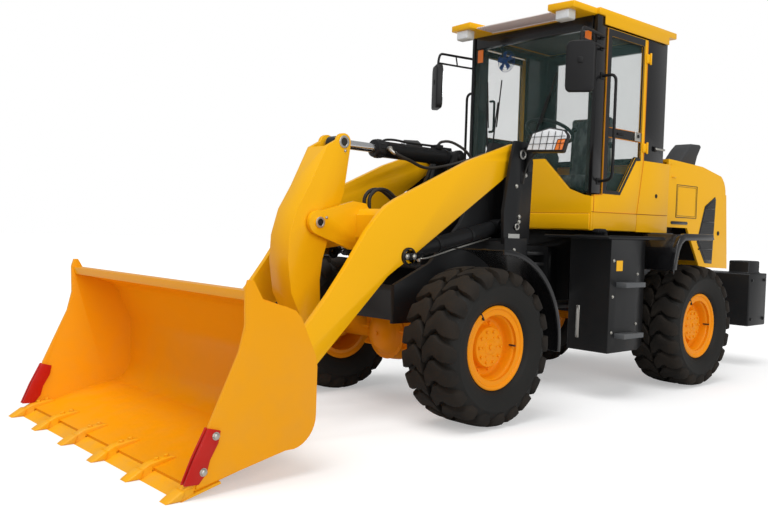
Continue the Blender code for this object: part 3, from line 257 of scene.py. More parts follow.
YELLOW = paint("yellow_enamel", (0.94, 0.475, 0.004))
# The bucket enamel is a darker, more orange copy of the yellow enamel: painted shade standing for the shade inside
# the bucket.
BUCKET_YELLOW_WITH_SHADE = paint("bucket_enamel_with_painted_shade", (0.90, 0.37, 0.003), roughness=0.34, dust=0.05, coat=0.10, shine=0.15)
ORANGE = paint("orange_enamel", (0.88, 0.290, 0.002), roughness=0.36, coat=0.08, shine=0.10)
CHARCOAL = paint("charcoal_enamel", (0.012, 0.0125, 0.0135), roughness=0.40, dust=0.02, coat=0.08, shine=0.22)
GLOSS_BLACK = paint("black_enamel", (0.008, 0.008, 0.009), roughness=0.24, dust=0.01, coat=0.35, shine=0.30)
GREY_STEEL = paint("grey_enamel", (0.10, 0.105, 0.11), roughness=0.45, dust=0.10, coat=0.1)
COWL_GREY = paint("cowl_enamel", (0.045, 0.047, 0.050), roughness=0.5, dust=0.0, coat=0.05)
RED = paint("red_enamel", (0.50, 0.010, 0.006), roughness=0.4, coat=0.1)
WORN_EDGE = paint("edge_enamel", (0.90, 0.42, 0.006), roughness=0.42, dust=0.12, coat=0.05)
TREAD = rubber("tread_rubber", (0.009, 0.008, 0.007), 0.80, 0.8, (0.026, 0.020, 0.015, 1))
SIDEWALL = rubber("sidewall_rubber", (0.009, 0.009, 0.008), 0.60, 0.25, (0.018, 0.015, 0.012, 1))
SEAL = rubber("seal_rubber", (0.012, 0.012, 0.012), 0.6, 0.1)
HOSE = rubber("hose_rubber", (0.014, 0.014, 0.014), 0.5, 0.1)
CHROME = bare_metal("chromed_rod", (0.72, 0.73, 0.74), 0.16, (1, 0.05, 1))
STEEL = bare_metal("zinc_steel", (0.55, 0.54, 0.50), 0.35)
BLACK_PLASTIC = plastic("black_plastic", (0.010, 0.010, 0.011))
GREY_PLASTIC = plastic("grey_plastic", (0.14, 0.14, 0.145), 0.5)
PALE_LINER = plastic("pale_liner", (0.62, 0.61, 0.57), 0.6)
LABEL_WHITE = plastic("label_film", (0.42, 0.42, 0.40), 0.5)
GLASS = pane("window_glass", (0.10, 0.19, 0.175), 0.09)
TINTED_GLASS = pane("tinted_glass", (0.06, 0.14, 0.13), 0.14)
# Dark orange-brown lines laid along panel seams: painted shadow in the seams.
PAINTED_PANEL_SHADOW = plastic("panel_shadow", (0.32, 0.10, 0.002), 0.6)
# A darker, more orange copy of the yellow enamel laid along door and window seams: painted shade in the seams.
PAINTED_SEAM_SHADE = plastic("painted_seam_shade", (0.75, 0.24, 0.006), 0.5)
LINER = plastic("cab_liner", (0.06, 0.06, 0.058), 0.7)


# ---------------------------------------------------------------- shaping tools
def new_object(name, mesh):
    obj = bpy.data.objects.new(name, mesh)
    bpy.context.scene.collection.objects.link(obj)
    return obj


def smoothed(mesh, angle=35):
    """Round faces shade smoothly and edges sharper than the angle stay crisp."""
    mesh.shade_smooth()
    mesh.set_sharp_from_angle(angle=math.radians(angle))
    return mesh


def evaluated(obj):
    """The mesh that an object and its modifiers come to, with the object removed."""
    bpy.context.view_layer.update()
    mesh = bpy.data.meshes.new_from_object(obj.evaluated_get(bpy.context.evaluated_depsgraph_get()))
    mesh.transform(obj.matrix_world)
    bpy.data.objects.remove(obj, do_unlink=True)
    return mesh


def shell(points, faces, finish):
    """A mesh from points and faces, with one finish and its faces outward."""
    mesh = bpy.data.meshes.new("shell")
    mesh.from_pydata([tuple(p) for p in points], [], faces)
    shape = bmesh.new()
    shape.from_mesh(mesh)
    bmesh.ops.recalc_face_normals(shape, faces=shape.faces[:])
    shape.to_mesh(mesh)
    shape.free()
    mesh.materials.append(finish)
    return mesh


def lathe(profile, finish, steps=48, closed=False):
    """Turns (along, radius) points about the X axis; a radius of 0 closes an end in a pole."""
    points, rings = [], []
    for along, radius in profile:
        if radius == 0:
            rings.append([len(points)] * steps)
            points.append((along, 0, 0))
            continue
        rings.append(list(range(len(points), len(points) + steps)))
        for i in range(steps):
            angle = 2 * math.pi * i / steps
            points.append((along, radius * math.cos(angle), radius * math.sin(angle)))
    faces = []
    pairs = list(zip(rings, rings[1:]))
    if closed:
        pairs.append((rings[-1], rings[0]))
    for first, second in pairs:
        for i in range(steps):
            j = (i + 1) % steps
            corner = [first[i], first[j], second[j], second[i]]
            faces.append([c for k, c in enumerate(corner) if c not in corner[:k]])
    return shell(points, [f for f in faces if len(f) > 2], finish)


def slab(outline, low, high, across, finish, bevel=0.0, segments=2):
    """A flat outline with a thickness along X, Y or Z; its edges may be rounded."""
    place = {"X": lambda u, v, w: (w, u + AXLE_Y, v), "Y": lambda u, v, w: (u, w + AXLE_Y, v),
        "Z": lambda u, v, w: (u, v + AXLE_Y, w)}[across]
    count = len(outline)
    points = [place(u, v, low) for u, v in outline] + [place(u, v, high) for u, v in outline]
    faces = [list(range(count)), list(range(2 * count - 1, count - 1, -1))]
    faces += [[i, (i + 1) % count, count + (i + 1) % count, count + i] for i in range(count)]
    return rounded(shell(points, faces, finish), bevel, segments)


def rounded(mesh, bevel, segments=2):
    """The same mesh with its sharp edges rounded."""
    if not bevel:
        return mesh
    obj = new_object("rounded", mesh)
    edge = obj.modifiers.new("edge", "BEVEL")
    edge.width = bevel
    edge.segments = segments
    edge.limit_method = "ANGLE"
    edge.angle_limit = math.radians(30)
    edge.use_clamp_overlap = True
    return evaluated(obj)


def box(low, high, finish, bevel=0.0):
    """A box between two corners, measured from the front axle."""
    outline = [(low[0], low[1]), (high[0], low[1]), (high[0], high[1]), (low[0], high[1])]
    return slab(outline, low[2], high[2], "Z", finish, bevel)


def tube(points, radius, finish, smooth_path=True, sides=6):
    """A round bar or hose through points of the frame, with closed ends."""
    curve = bpy.data.curves.new("tube", "CURVE")
    curve.dimensions = "3D"
    curve.bevel_depth = radius
    curve.bevel_resolution = sides - 2
    curve.use_fill_caps = True
    curve.resolution_u = 6 if smooth_path else 1
    spline = curve.splines.new("BEZIER" if smooth_path else "POLY")
    if smooth_path:
        spline.bezier_points.add(len(points) - 1)
        for knot, point in zip(spline.bezier_points, points):
            knot.co = point
            knot.handle_left_type = knot.handle_right_type = "AUTO"
    else:
        spline.points.add(len(points) - 1)
        for knot, point in zip(spline.points, points):
            knot.co = (*point, 1)
    mesh = evaluated(new_object("tube", curve))
    mesh.materials.clear()
    mesh.materials.append(finish)
    return mesh


def bent(points, reach=0.035, steps=5):
    """A path whose corners are rounded, as a bar's are when it is bent."""
    points = [Vector(p) for p in points]
    path = [points[0]]
    for before, corner, after in zip(points, points[1:], points[2:]):
        near = min(reach, (corner - before).length * 0.45, (after - corner).length * 0.45)
        start = corner + (before - corner).normalized() * near
        end = corner + (after - corner).normalized() * near
        for i in range(steps + 1):
            t = i / steps
            path.append(start * (1 - t) ** 2 + corner * 2 * t * (1 - t) + end * t ** 2)
    return path + [points[-1]]


def turned_to(mesh, centre, direction):
    """Moves a mesh made about the X axis to a centre, with +X turned to a direction."""
    turn = Vector((1, 0, 0)).rotation_difference(Vector(direction)).to_matrix().to_4x4()
    mesh.transform(Matrix.Translation(centre) @ turn)
    return mesh


def mirror_of(mesh):
    """The same mesh on the machine's other side."""
    copy = mesh.copy()
    copy.transform(Matrix.Scale(-1, 4, (1, 0, 0)))
    copy.flip_normals()
    return copy


def joined(meshes):
    """One mesh of several, each keeping its finish."""
    finishes = []
    shape = bmesh.new()
    for mesh in meshes:
        own = []
        for finish in mesh.materials:
            if finish not in finishes:
                finishes.append(finish)
            own.append(finishes.index(finish))
        start = len(shape.faces)
        shape.from_mesh(mesh)
        shape.faces.ensure_lookup_table()
        for face in shape.faces[start:]:
            face.material_index = own[min(face.material_index, len(own) - 1)]
    result = bpy.data.meshes.new("joined")
    shape.to_mesh(result)
    shape.free()
    for finish in finishes:
        result.materials.append(finish)
    return result


def piece(name, meshes, body, stands_for=(), angle=35):
    """A finished piece that rides on a body."""
    meshes = meshes if isinstance(meshes, (list, tuple)) else [meshes]
    obj = new_object(name, smoothed(joined(meshes), angle))
    obj.data.name = name
    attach(obj, body)
    if stands_for:
        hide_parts(*stands_for)
    return obj


def dressed(node, finish, bevel=0.003, extra=(), angle=35, segments=2):
    """The CAD node's own shape with merged faces and rounded edges, and extra meshes joined to it."""
    obj = new_object("dressed", frame["nodes"][node].data.copy())
    weld = obj.modifiers.new("weld", "WELD")
    weld.merge_threshold = 0.00005
    planes = obj.modifiers.new("planes", "DECIMATE")
    planes.decimate_type = "DISSOLVE"
    planes.angle_limit = math.radians(1)
    if bevel:
        edge = obj.modifiers.new("edge", "BEVEL")
        edge.width = bevel
        edge.segments = segments
        edge.limit_method = "ANGLE"
        edge.angle_limit = math.radians(35)
        edge.use_clamp_overlap = True
    mesh = evaluated(obj)
    mesh.materials.clear()
    mesh.materials.append(finish)
    return piece(node + "_skin", [mesh, *extra], BODY_OF[node], (node,), angle)


# ---------------------------------------------------------------- repeats by Geometry Nodes
def ring_tree():
    """Copies a part round the X axis, with named inputs."""
    tree = bpy.data.node_groups.new("ring_of_parts", "GeometryNodeTree")
    tree.interface.new_socket("Geometry", in_out="OUTPUT", socket_type="NodeSocketGeometry")
    for name, kind in (("Part", "NodeSocketObject"), ("Count", "NodeSocketInt"),
            ("Phase", "NodeSocketFloat"), ("Finish", "NodeSocketMaterial")):
        tree.interface.new_socket(name, in_out="INPUT", socket_type=kind)
    make, join = tree.nodes.new, tree.links.new
    given = make("NodeGroupInput").outputs
    line = make("GeometryNodeMeshLine")
    line.inputs["Offset"].default_value = (0, 0, 0)
    join(given["Count"], line.inputs["Count"])
    index = make("GeometryNodeInputIndex").outputs[0]
    share = make("ShaderNodeMath")
    share.operation = "DIVIDE"
    join(index, share.inputs[0])
    join(given["Count"], share.inputs[1])
    angle = make("ShaderNodeMath")
    angle.operation = "MULTIPLY_ADD"
    join(share.outputs[0], angle.inputs[0])
    angle.inputs[1].default_value = 2 * math.pi
    join(given["Phase"], angle.inputs[2])
    turn = make("ShaderNodeCombineXYZ")
    join(angle.outputs[0], turn.inputs["X"])
    part = make("GeometryNodeObjectInfo")
    join(given["Part"], part.inputs["Object"])
    copies = make("GeometryNodeInstanceOnPoints")
    join(line.outputs[0], copies.inputs["Points"])
    join(part.outputs["Geometry"], copies.inputs["Instance"])
    join(turn.outputs[0], copies.inputs["Rotation"])
    real = make("GeometryNodeRealizeInstances")
    join(copies.outputs[0], real.inputs[0])
    coat = make("GeometryNodeSetMaterial")
    join(real.outputs[0], coat.inputs["Geometry"])
    join(given["Finish"], coat.inputs["Material"])
    join(coat.outputs[0], make("NodeGroupOutput").inputs[0])
    return tree


def grid_tree():
    """Copies a part over a flat grid in the YZ plane, every other row shifted along it."""
    tree = bpy.data.node_groups.new("grid_of_parts", "GeometryNodeTree")
    tree.interface.new_socket("Geometry", in_out="OUTPUT", socket_type="NodeSocketGeometry")
    for name, kind in (("Part", "NodeSocketObject"), ("Columns", "NodeSocketInt"),
            ("Count", "NodeSocketInt"), ("Step", "NodeSocketFloat"), ("Row Step", "NodeSocketFloat"),
            ("Shift", "NodeSocketFloat"), ("Finish", "NodeSocketMaterial")):
        tree.interface.new_socket(name, in_out="INPUT", socket_type=kind)
    make, join = tree.nodes.new, tree.links.new
    given = make("NodeGroupInput").outputs

    def sum_of(operation, first, second):
        node = make("ShaderNodeMath")
        node.operation = operation
        for socket, value in zip(node.inputs, (first, second)):
            if isinstance(value, (int, float)):
                socket.default_value = value
            else:
                join(value, socket)
        return node.outputs[0]

    line = make("GeometryNodeMeshLine")
    line.inputs["Offset"].default_value = (0, 0, 0)
    join(given["Count"], line.inputs["Count"])
    index = make("GeometryNodeInputIndex").outputs[0]
    row = sum_of("FLOOR", sum_of("DIVIDE", sum_of("ADD", index, 0.5), given["Columns"]), 0)
    column = sum_of("SUBTRACT", index, sum_of("MULTIPLY", row, given["Columns"]))
    odd = sum_of("MODULO", row, 2)
    along = sum_of("MULTIPLY", sum_of("ADD", column, sum_of("MULTIPLY", odd, given["Shift"])), given["Step"])
    place = make("ShaderNodeCombineXYZ")
    join(along, place.inputs["Y"])
    join(sum_of("MULTIPLY", row, given["Row Step"]), place.inputs["Z"])
    move = make("GeometryNodeSetPosition")
    join(line.outputs[0], move.inputs["Geometry"])
    join(place.outputs[0], move.inputs["Position"])
    part = make("GeometryNodeObjectInfo")
    join(given["Part"], part.inputs["Object"])
    copies = make("GeometryNodeInstanceOnPoints")
    join(move.outputs[0], copies.inputs["Points"])
    join(part.outputs["Geometry"], copies.inputs["Instance"])
    real = make("GeometryNodeRealizeInstances")
    join(copies.outputs[0], real.inputs[0])
    coat = make("GeometryNodeSetMaterial")
    join(real.outputs[0], coat.inputs["Geometry"])
    join(given["Finish"], coat.inputs["Material"])
    join(coat.outputs[0], make("NodeGroupOutput").inputs[0])
    return tree


RING = ring_tree()
GRID = grid_tree()


def repeated(tree, part_mesh, finish, **inputs):
    """Runs a repeating tree on a part and gives the plain mesh."""
    part = new_object("part", part_mesh)
    carrier = new_object("carrier", bpy.data.meshes.new("carrier"))
    modifier = carrier.modifiers.new("repeat", "NODES")
    modifier.node_group = tree
    named = {"Part": part, "Finish": finish, **{key.replace("_", " "): value for key,
        value in inputs.items()}}
    for socket in tree.interface.items_tree:
        if socket.in_out == "INPUT":
            modifier[socket.identifier] = named[socket.name]
    mesh = evaluated(carrier)
    bpy.data.objects.remove(part, do_unlink=True)
    mesh.materials.clear()
    mesh.materials.append(finish)
    return mesh


def ring(part_mesh, count, finish, phase=0.0):
    return repeated(RING, part_mesh, finish, Count=count, Phase=phase)


def bolt_head(radius, height, finish, collar=1.25):
    """A hexagon head on a round washer, standing along +X from its seat."""
    washer = lathe([(0, 0), (0, radius * collar), (height * 0.2, radius * collar), (height * 0.2, 0)],
        finish, 12)
    head = lathe([(height * 0.15, 0), (height * 0.15, radius), (height * 0.85, radius),
        (height, radius * 0.86), (height, 0)], finish, 6)
    return joined([washer, head])


def bolts(places, direction, radius, height, finish):
    """Bolt heads at points of the frame, all facing one way."""
    return [turned_to(bolt_head(radius, height, finish), place, direction) for place in places]


def bolt_ring(centre, direction, ring_radius, count, radius, height, finish, phase=0.0):
    """A circle of bolt heads about a centre."""
    head = bolt_head(radius, height, finish)
    head.transform(Matrix.Translation((0, ring_radius, 0)))
    return turned_to(ring(head, count, finish, phase), centre, direction)


def pin_cap(centre, direction, radius, finish, core):
    """The end of a pin: a bright rim round a darker middle."""
    rim = lathe([(0, radius * 0.62), (0, radius), (0.004, radius), (0.006, radius * 0.93),
        (0.006, radius * 0.68), (0.003, radius * 0.62)], finish, 32, True)
    middle = lathe([(-0.001, 0), (-0.001, radius * 0.64), (0.003, radius * 0.64), (0.004, radius * 0.5),
        (0.004, 0)], core, 32)
    return [turned_to(mesh, centre, direction) for mesh in (rim, middle)]


def across(joint, x):
    """A joint's centre, moved to a place across the machine."""
    return Vector((x, joint.y, joint.z))


def rectangle(low_u, low_v, high_u, high_v):
    return [(low_u, low_v), (high_u, low_v), (high_u, high_v), (low_u, high_v)]


def outward(sign):
    return (sign, 0, 0)


# ---------------------------------------------------------------- wheels
TYRE_HALF_PROFILE = [(0.128, 0.204), (0.141, 0.250), (0.151, 0.263), (0.158, 0.269), (0.168, 0.276),
    (0.178, 0.288), (0.180, 0.292), (0.182, 0.298), (0.192, 0.320), (0.199, 0.345), (0.202, 0.372),
    (0.2035, 0.376), (0.2035, 0.384), (0.200, 0.388), (0.195, 0.410), (0.180, 0.434), (0.152, 0.448),
    (0.100, 0.454), (0, 0.456)]
LUG_STATIONS = (
    # across and radius of the top, across and radius of the foot, half width and shift round the tyre
    (0.006, 0.4900, 0.004, 0.452, 0.046, -0.022),
    (0.034, 0.4900, 0.034, 0.452, 0.058, 0.004),
    (0.056, 0.4900, 0.056, 0.451, 0.060, 0.036),
    (0.088, 0.4890, 0.088, 0.450, 0.056, 0.044),
    (0.118, 0.4870, 0.118, 0.448, 0.054, 0.018),
    (0.150, 0.4830, 0.145, 0.444, 0.052, 0.004),
    (0.182, 0.4740, 0.168, 0.434, 0.050, 0.000),
    (0.200, 0.4560, 0.185, 0.420, 0.046, -0.004),
    (0.206, 0.4340, 0.190, 0.408, 0.034, -0.010),
    (0.206, 0.4080, 0.196, 0.396, 0.022, -0.014))
LUG_COUNT = 20
LUG_FLARE = 0.007


def tread_lug():
    """One block of the tread: it sweeps from the middle of the tyre over its shoulder."""
    points, faces = [], []
    for x, radius, foot_x, foot_radius, half, shift in LUG_STATIONS:
        row = [(foot_x, foot_radius, shift - half - LUG_FLARE), (x, radius - 0.003, shift - half),
            (x, radius, shift - half * 0.9), (x, radius, shift), (x, radius, shift + half * 0.9),
            (x, radius - 0.003, shift + half), (foot_x, foot_radius, shift + half + LUG_FLARE)]
        points += [(px, r * math.sin(around / r), r * math.cos(around / r)) for px, r, around in row]
    wide = 7
    rows = len(LUG_STATIONS)
    for i in range(rows - 1):
        for j in range(wide):
            k = (j + 1) % wide
            faces.append([i * wide + j, i * wide + k, (i + 1) * wide + k, (i + 1) * wide + j])
    faces += [list(range(wide)), list(range((rows - 1) * wide, rows * wide))]
    return shell(points, faces, TREAD)


def tyre_mesh():
    """A carcass with moulded side rings and two staggered rows of lugs."""
    profile = TYRE_HALF_PROFILE + [(-along, radius) for along, radius in TYRE_HALF_PROFILE[-2::-1]]
    carcass = lathe(profile, SIDEWALL, 96, True)
    near = ring(tread_lug(), LUG_COUNT, TREAD)
    far = mirror_of(ring(tread_lug(), LUG_COUNT, TREAD, math.pi / LUG_COUNT))
    return joined([carcass, near, far])


RIM_PROFILE = [(0.112, 0), (0.112, 0.040), (0.110, 0.046), (0.106, 0.050), (0.104, 0.112), (0.101, 0.122),
    (0.092, 0.127), (0.070, 0.130), (0.056, 0.133), (0.050, 0.140), (0.048, 0.158), (0.050, 0.172),
    (0.058, 0.182), (0.074, 0.187), (0.114, 0.193), (0.124, 0.198), (0.130, 0.208), (0.142, 0.213),
    (0.147, 0.220), (0.149, 0.234), (0.156, 0.238), (0.161, 0.246), (0.160, 0.256), (0.155, 0.261),
    (0.150, 0.258), (0.149, 0.248), (0.147, 0.2035), (-0.147, 0.2035), (-0.149, 0.258), (-0.155, 0.261),
    (-0.160, 0.254), (-0.157, 0.240), (-0.130, 0.200), (-0.060, 0.190), (0.020, 0.180), (0.024, 0.116),
    (-0.088, 0.105), (-0.088, 0)]


def rim_mesh():
    """A dished disc with a bolted hub, its nuts, and the valve in its slot."""
    disc = lathe(RIM_PROFILE, ORANGE, 72)
    nut = bolt_head(0.0105, 0.012, ORANGE)
    nut.transform(Matrix.Translation((0.049, 0.150, 0)))
    hub_bolt = bolt_head(0.0095, 0.010, ORANGE)
    hub_bolt.transform(Matrix.Translation((0.104, 0.098, 0)))
    cap_screw = bolt_head(0.006, 0.006, ORANGE)
    cap_screw.transform(Matrix.Translation((0.1045, 0.066, 0)))
    boss = turned_to(lathe([(0, 0), (0, 0.018), (0.008, 0.016), (0.011, 0)], ORANGE, 20), (0.112, 0, 0),
        (1, 0, 0))
    valve = tube([(0.10, 0.192, 0), (0.13, 0.188, 0), (0.150, 0.186, 0)], 0.0055, SEAL)
    notch = box((-0.006, -0.004, 0.216), (0.006, 0.004, 0.262), SEAL)
    notch.transform(Matrix.Translation((0.156, -AXLE_Y, 0)))
    notch.transform(Matrix.Rotation(math.radians(35), 4, "X"))
    return joined([disc, ring(nut, 10, ORANGE), ring(hub_bolt, 10, ORANGE), ring(cap_screw, 6, ORANGE),
        boss, valve, notch])


def moved(mesh, offset):
    """A copy of a mesh, moved."""
    copy = mesh.copy()
    copy.transform(Matrix.Translation(offset))
    return copy


tyre_shape, rim_shape = tyre_mesh(), rim_mesh()
for axle_name, wheel_y in (("front", AXLE_Y), ("rear", REAR_AXLE_Y)):
    for side_name, sign in SIDES:
        hub_at = Vector((sign * AXLE_X, wheel_y, WHEEL_HEIGHT))
        for part_name, shape in (("tyre", tyre_shape), ("rim", rim_shape)):
            node = f"{axle_name}_{side_name}_{part_name}"
            mesh = shape if sign > 0 else mirror_of(shape)
            piece(node + "_skin", moved(mesh, hub_at), BODY_OF[node], (node,), 40)

# ---------------------------------------------------------------- axles
AXLE_HALF_PROFILE = [(-0.644, 0), (-0.644, 0.096), (-0.640, 0.100), (-0.612, 0.100), (-0.606, 0.094),
    (-0.600, 0.070), (-0.300, 0.066), (-0.230, 0.070), (-0.195, 0.080), (-0.170, 0.100), (-0.150, 0.124),
    (-0.120, 0.150), (-0.085, 0.171), (-0.045, 0.184), (0, 0.188)]


def axle_mesh(nose):
    """A cast housing with a ribbed middle, a bolted cover on one face and the input shaft on the other."""
    profile = AXLE_HALF_PROFILE + [(-along, radius) for along, radius in AXLE_HALF_PROFILE[-2::-1]]
    housing = lathe(profile, ORANGE, 56)
    rib = slab([(-0.006, 0.070), (0.006, 0.070), (0.006, 0.152), (-0.006, 0.152)], 0.15, 0.24, "X",
        ORANGE, 0.003)
    rib.transform(Matrix.Translation((0, -AXLE_Y, -0.020)))
    ribs = ring(rib, 6, ORANGE, 0.3)
    cover = lathe([(0.085, 0), (0.085, 0.172), (0.105, 0.176), (0.108, 0.168), (0.112, 0.150),
        (0.150, 0.128), (0.176, 0.092), (0.186, 0.050), (0.188, 0)], ORANGE, 56)
    plug = bolt_head(0.014, 0.012, ORANGE)
    plug.transform(Matrix.Translation((0.186, 0, 0)))
    shaft = lathe([(0.10, 0), (0.10, 0.110), (0.19, 0.078), (0.26, 0.070), (0.27, 0.070), (0.275, 0.085),
        (0.298, 0.085), (0.298, 0.030), (0.296, 0)], ORANGE, 40)
    front = joined([cover, plug, bolt_ring((0.103, 0, 0), (1, 0, 0), 0.160, 12, 0.007, 0.007, ORANGE)])
    back = joined([shaft, bolt_ring((0.297, 0, 0), (1, 0, 0), 0.068, 4, 0.007, 0.007, STEEL)])
    ends = [joined([bolt_ring((sign * 0.606, 0, 0), (-sign, 0, 0), 0.084, 12, 0.006, 0.006, ORANGE)])
        for sign in (1, -1)]
    pads = [slab([(-0.060, 0.04), (0.060, 0.04), (0.060, 0.10), (-0.060, 0.10)], x - 0.035, x + 0.035,
        "X", ORANGE, 0.004) for x in (0.225, -0.225)]
    for pad in pads:
        pad.transform(Matrix.Translation((0, -AXLE_Y, 0)))
    return [housing, ribs, mirror_of(ribs), turned_to(front, (0, 0, 0), (0, -nose, 0)),
        turned_to(back, (0, 0, 0), (0, nose, 0)), *ends, *pads]


for node, wheel_y, nose in (("front_axle", AXLE_Y, 1), ("rear_axle", REAR_AXLE_Y, -1)):
    piece(node + "_skin", [moved(mesh, (0, wheel_y, WHEEL_HEIGHT)) for mesh in axle_mesh(nose)],
        BODY_OF[node], (node,), 40)

# ---------------------------------------------------------------- front frame, its mudguards and lamps
TOWER_FACE = 0.50
LIFT_PIVOT = JOINT_AT["lift"]
LIFT_BASE = JOINT_AT["lift_barrel_turn"]
LIFT_EYE = JOINT_AT["lift_rod_slide"]
TILT_BASE = JOINT_AT["tilt_barrel_turn"]
LEVER_TOP = JOINT_AT["tilt_rod_slide"]
LEVER_PIN = JOINT_AT["lever_turn"]
BUCKET_PIN = JOINT_AT["bucket_tilt"]
LINK_PIN = JOINT_AT["link_turn"]

tower_bits = []
for sign in (1, -1):
    face = sign * (TOWER_FACE + 0.001)
    for centre, radius in ((LIFT_PIVOT, 0.034), (LIFT_BASE, 0.024)):
        tower_bits += pin_cap(across(centre, face + sign * 0.011), outward(sign), radius, STEEL, CHARCOAL)
    tower_bits += bolts([at(face, 0.655, 1.310), at(face, 0.655, 1.275), at(face, 0.615, 1.52),
        at(face, 0.71, 1.60)], outward(sign), 0.012, 0.010, STEEL)
    tower_bits.append(slab(rectangle(0.545, 1.135, 0.665, 1.19), *sorted((face, face + sign * 0.0015)),
        "X", LABEL_WHITE))
dressed("front_frame", CHARCOAL, 0.003, tower_bits)


def arc(centre, radius, start, end, steps):
    """Points on an arc, with its angles in degrees."""
    span = [math.radians(start + (end - start) * i / steps) for i in range(steps + 1)]
    return [(centre[0] + radius * math.cos(a), centre[1] + radius * math.sin(a)) for a in span]


GUARD_RADIUS = 0.60
for side_name, sign in SIDES:
    centre = (0.0, TYRE_RADIUS)
    sheet = slab(arc(centre, GUARD_RADIUS, -6, 90, 40) + arc(centre, GUARD_RADIUS - 0.007, 90, -6, 40),
        0.501, 0.925, "X", GLOSS_BLACK, 0.002)
    bead = slab(arc(centre, GUARD_RADIUS + 0.003, -6, 90, 40)
        + arc(centre, GUARD_RADIUS - 0.028, 90, -6, 40), 0.917, 0.929, "X", GLOSS_BLACK, 0.003)
    rib = slab(arc(centre, GUARD_RADIUS + 0.006, 5, 84, 30)
        + arc(centre, GUARD_RADIUS - 0.002, 84, 5, 30), 0.70, 0.73, "X", GLOSS_BLACK, 0.002)
    web = slab([(0.50, 0.75), (0.50, 1.16), (0.74, 1.16), (0.74, 0.75)], 0.501, 0.510, "X", CHARCOAL, 0.002)
    heads = bolts([at(0.511, 0.60, 1.08), at(0.511, 0.60, 0.86), at(0.511, 0.70, 0.97)], (1, 0, 0), 0.010,
        0.009, STEEL)
    meshes = [sheet, bead, rib, web, *heads]
    if sign < 0:
        meshes = [mirror_of(mesh) for mesh in meshes]
    node = f"front_mudguard_{side_name}"
    piece(node + "_skin", meshes, BODY_OF[node], (node,))

LAMP_CENTRE = at(0.674, 0.72, 1.835)
LAMP_WIDTH, LAMP_DEPTH, LAMP_HEIGHT = 0.29, 0.13, 0.165
LAMP_YAW = math.radians(30)


def meshed_panel():
    """A pale panel crossed by fine staggered red lines."""
    finish = Finish("sun_panel", (0.90, 0.88, 0.86), 0.5)
    row = finish.make("ShaderNodeTexBrick", {}, {"Vector": finish.place((1, 1, 1), (0, 0, 0)),
        "Scale": 26.0, "Mortar Size": 0.035, "Color1": finish.colour, "Color2": finish.colour,
        "Mortar": (0.55, 0.16, 0.12, 1)})
    finish.feed("Base Color", row)
    return finish.material


MESHED_PANEL = meshed_panel()


def lamp_lens(name, colour, ribs, glow=0.0):
    """A moulded lens with fine upright ribs and a faint depth."""
    finish = Finish(name, colour, 0.08, Coat_Weight=0.6)
    wave = finish.make("ShaderNodeTexWave", {"bands_direction": "DIAGONAL"},
        {"Vector": finish.place(), "Scale": ribs, "Distortion": 0.4})
    finish.feed("Base Color", finish.mix(wave.above(0.5, 0.4) * 0.45, finish.colour,
        tuple(c * 0.45 for c in colour) + (1,)))
    finish.bump(wave, 0.5, 0.002)
    if glow:
        finish.feed("Emission Color", finish.colour)
        finish.shader.inputs["Emission Strength"].default_value = glow
    return finish.material


WHITE_LENS = lamp_lens("clear_lens", (0.80, 0.82, 0.84), 60, 0.12)
AMBER_LENS = lamp_lens("amber_lens", (0.90, 0.20, 0.01), 60, 0.15)
RED_LENS = lamp_lens("red_lens", (0.55, 0.01, 0.01), 60, 0.05)
for side_name, sign in SIDES:
    half_w, half_d, half_h = LAMP_WIDTH / 2, LAMP_DEPTH / 2, LAMP_HEIGHT / 2
    outline = [(-half_w, -half_h), (half_w - 0.03, -half_h), (half_w, half_h - 0.05),
        (half_w - 0.02, half_h - 0.02), (0.02, half_h), (-half_w + 0.04, half_h - 0.04)]
    inner = [(u * 0.90, v * 0.86) for u, v in outline]
    cut = 0.35
    lens = [inner[0], (half_w * cut, inner[0][1]), (half_w * cut + 0.02, 0.0), (inner[2][0], 0.005),
        inner[2], inner[3], inner[4], inner[5]]
    amber = [(half_w * cut + 0.004, inner[1][1]), inner[1], (inner[2][0] - 0.008, 0.0),
        (half_w * cut + 0.024, -0.004)]
    parts = [slab(outline, -half_d, half_d, "Y", BLACK_PLASTIC, 0.012, 3),
        slab(lens, -half_d - 0.006, -half_d + 0.01, "Y", WHITE_LENS, 0.004),
        slab(amber, -half_d - 0.006, -half_d + 0.01, "Y", AMBER_LENS, 0.004)]
    for i in range(5):
        u = -half_w + 0.05 + 0.045 * i
        parts.append(tube([Vector((u, AXLE_Y - half_d - 0.012, -half_h + 0.01)),
            Vector((u + 0.02, AXLE_Y - half_d - 0.012, half_h - 0.03))], 0.0022, BLACK_PLASTIC, False))
    for v in (-0.035, 0.012):
        parts.append(tube([Vector((-half_w + 0.015, AXLE_Y - half_d - 0.014, v)),
            Vector((half_w - 0.02, AXLE_Y - half_d - 0.014, v + 0.008))], 0.0022, BLACK_PLASTIC, False))
    housing = joined(parts)
    housing.transform(Matrix.Translation(LAMP_CENTRE) @ Matrix.Rotation(LAMP_YAW, 4, "Z")
        @ Matrix.Translation((0, -AXLE_Y, 0)))
    stay = box((TOWER_FACE + 0.001, 0.70, 1.62), (TOWER_FACE + 0.031, 0.74, 1.80), CHARCOAL, 0.004)
    foot = box((TOWER_FACE + 0.002, 0.702, 1.765), (LAMP_CENTRE.x, 0.738, 1.79), CHARCOAL, 0.004)
    cable = tube([at(0.62, 0.72, 1.78), at(0.545, 0.70, 1.71), at(0.520, 0.685, 1.63),
        at(0.508, 0.675, 1.54)], 0.006, HOSE)
    meshes = [housing, stay, foot, cable]
    if sign < 0:
        meshes = [mirror_of(mesh) for mesh in meshes]
    node = f"headlamp_{side_name}"
    piece(node + "_skin", meshes, BODY_OF[node], (node,))

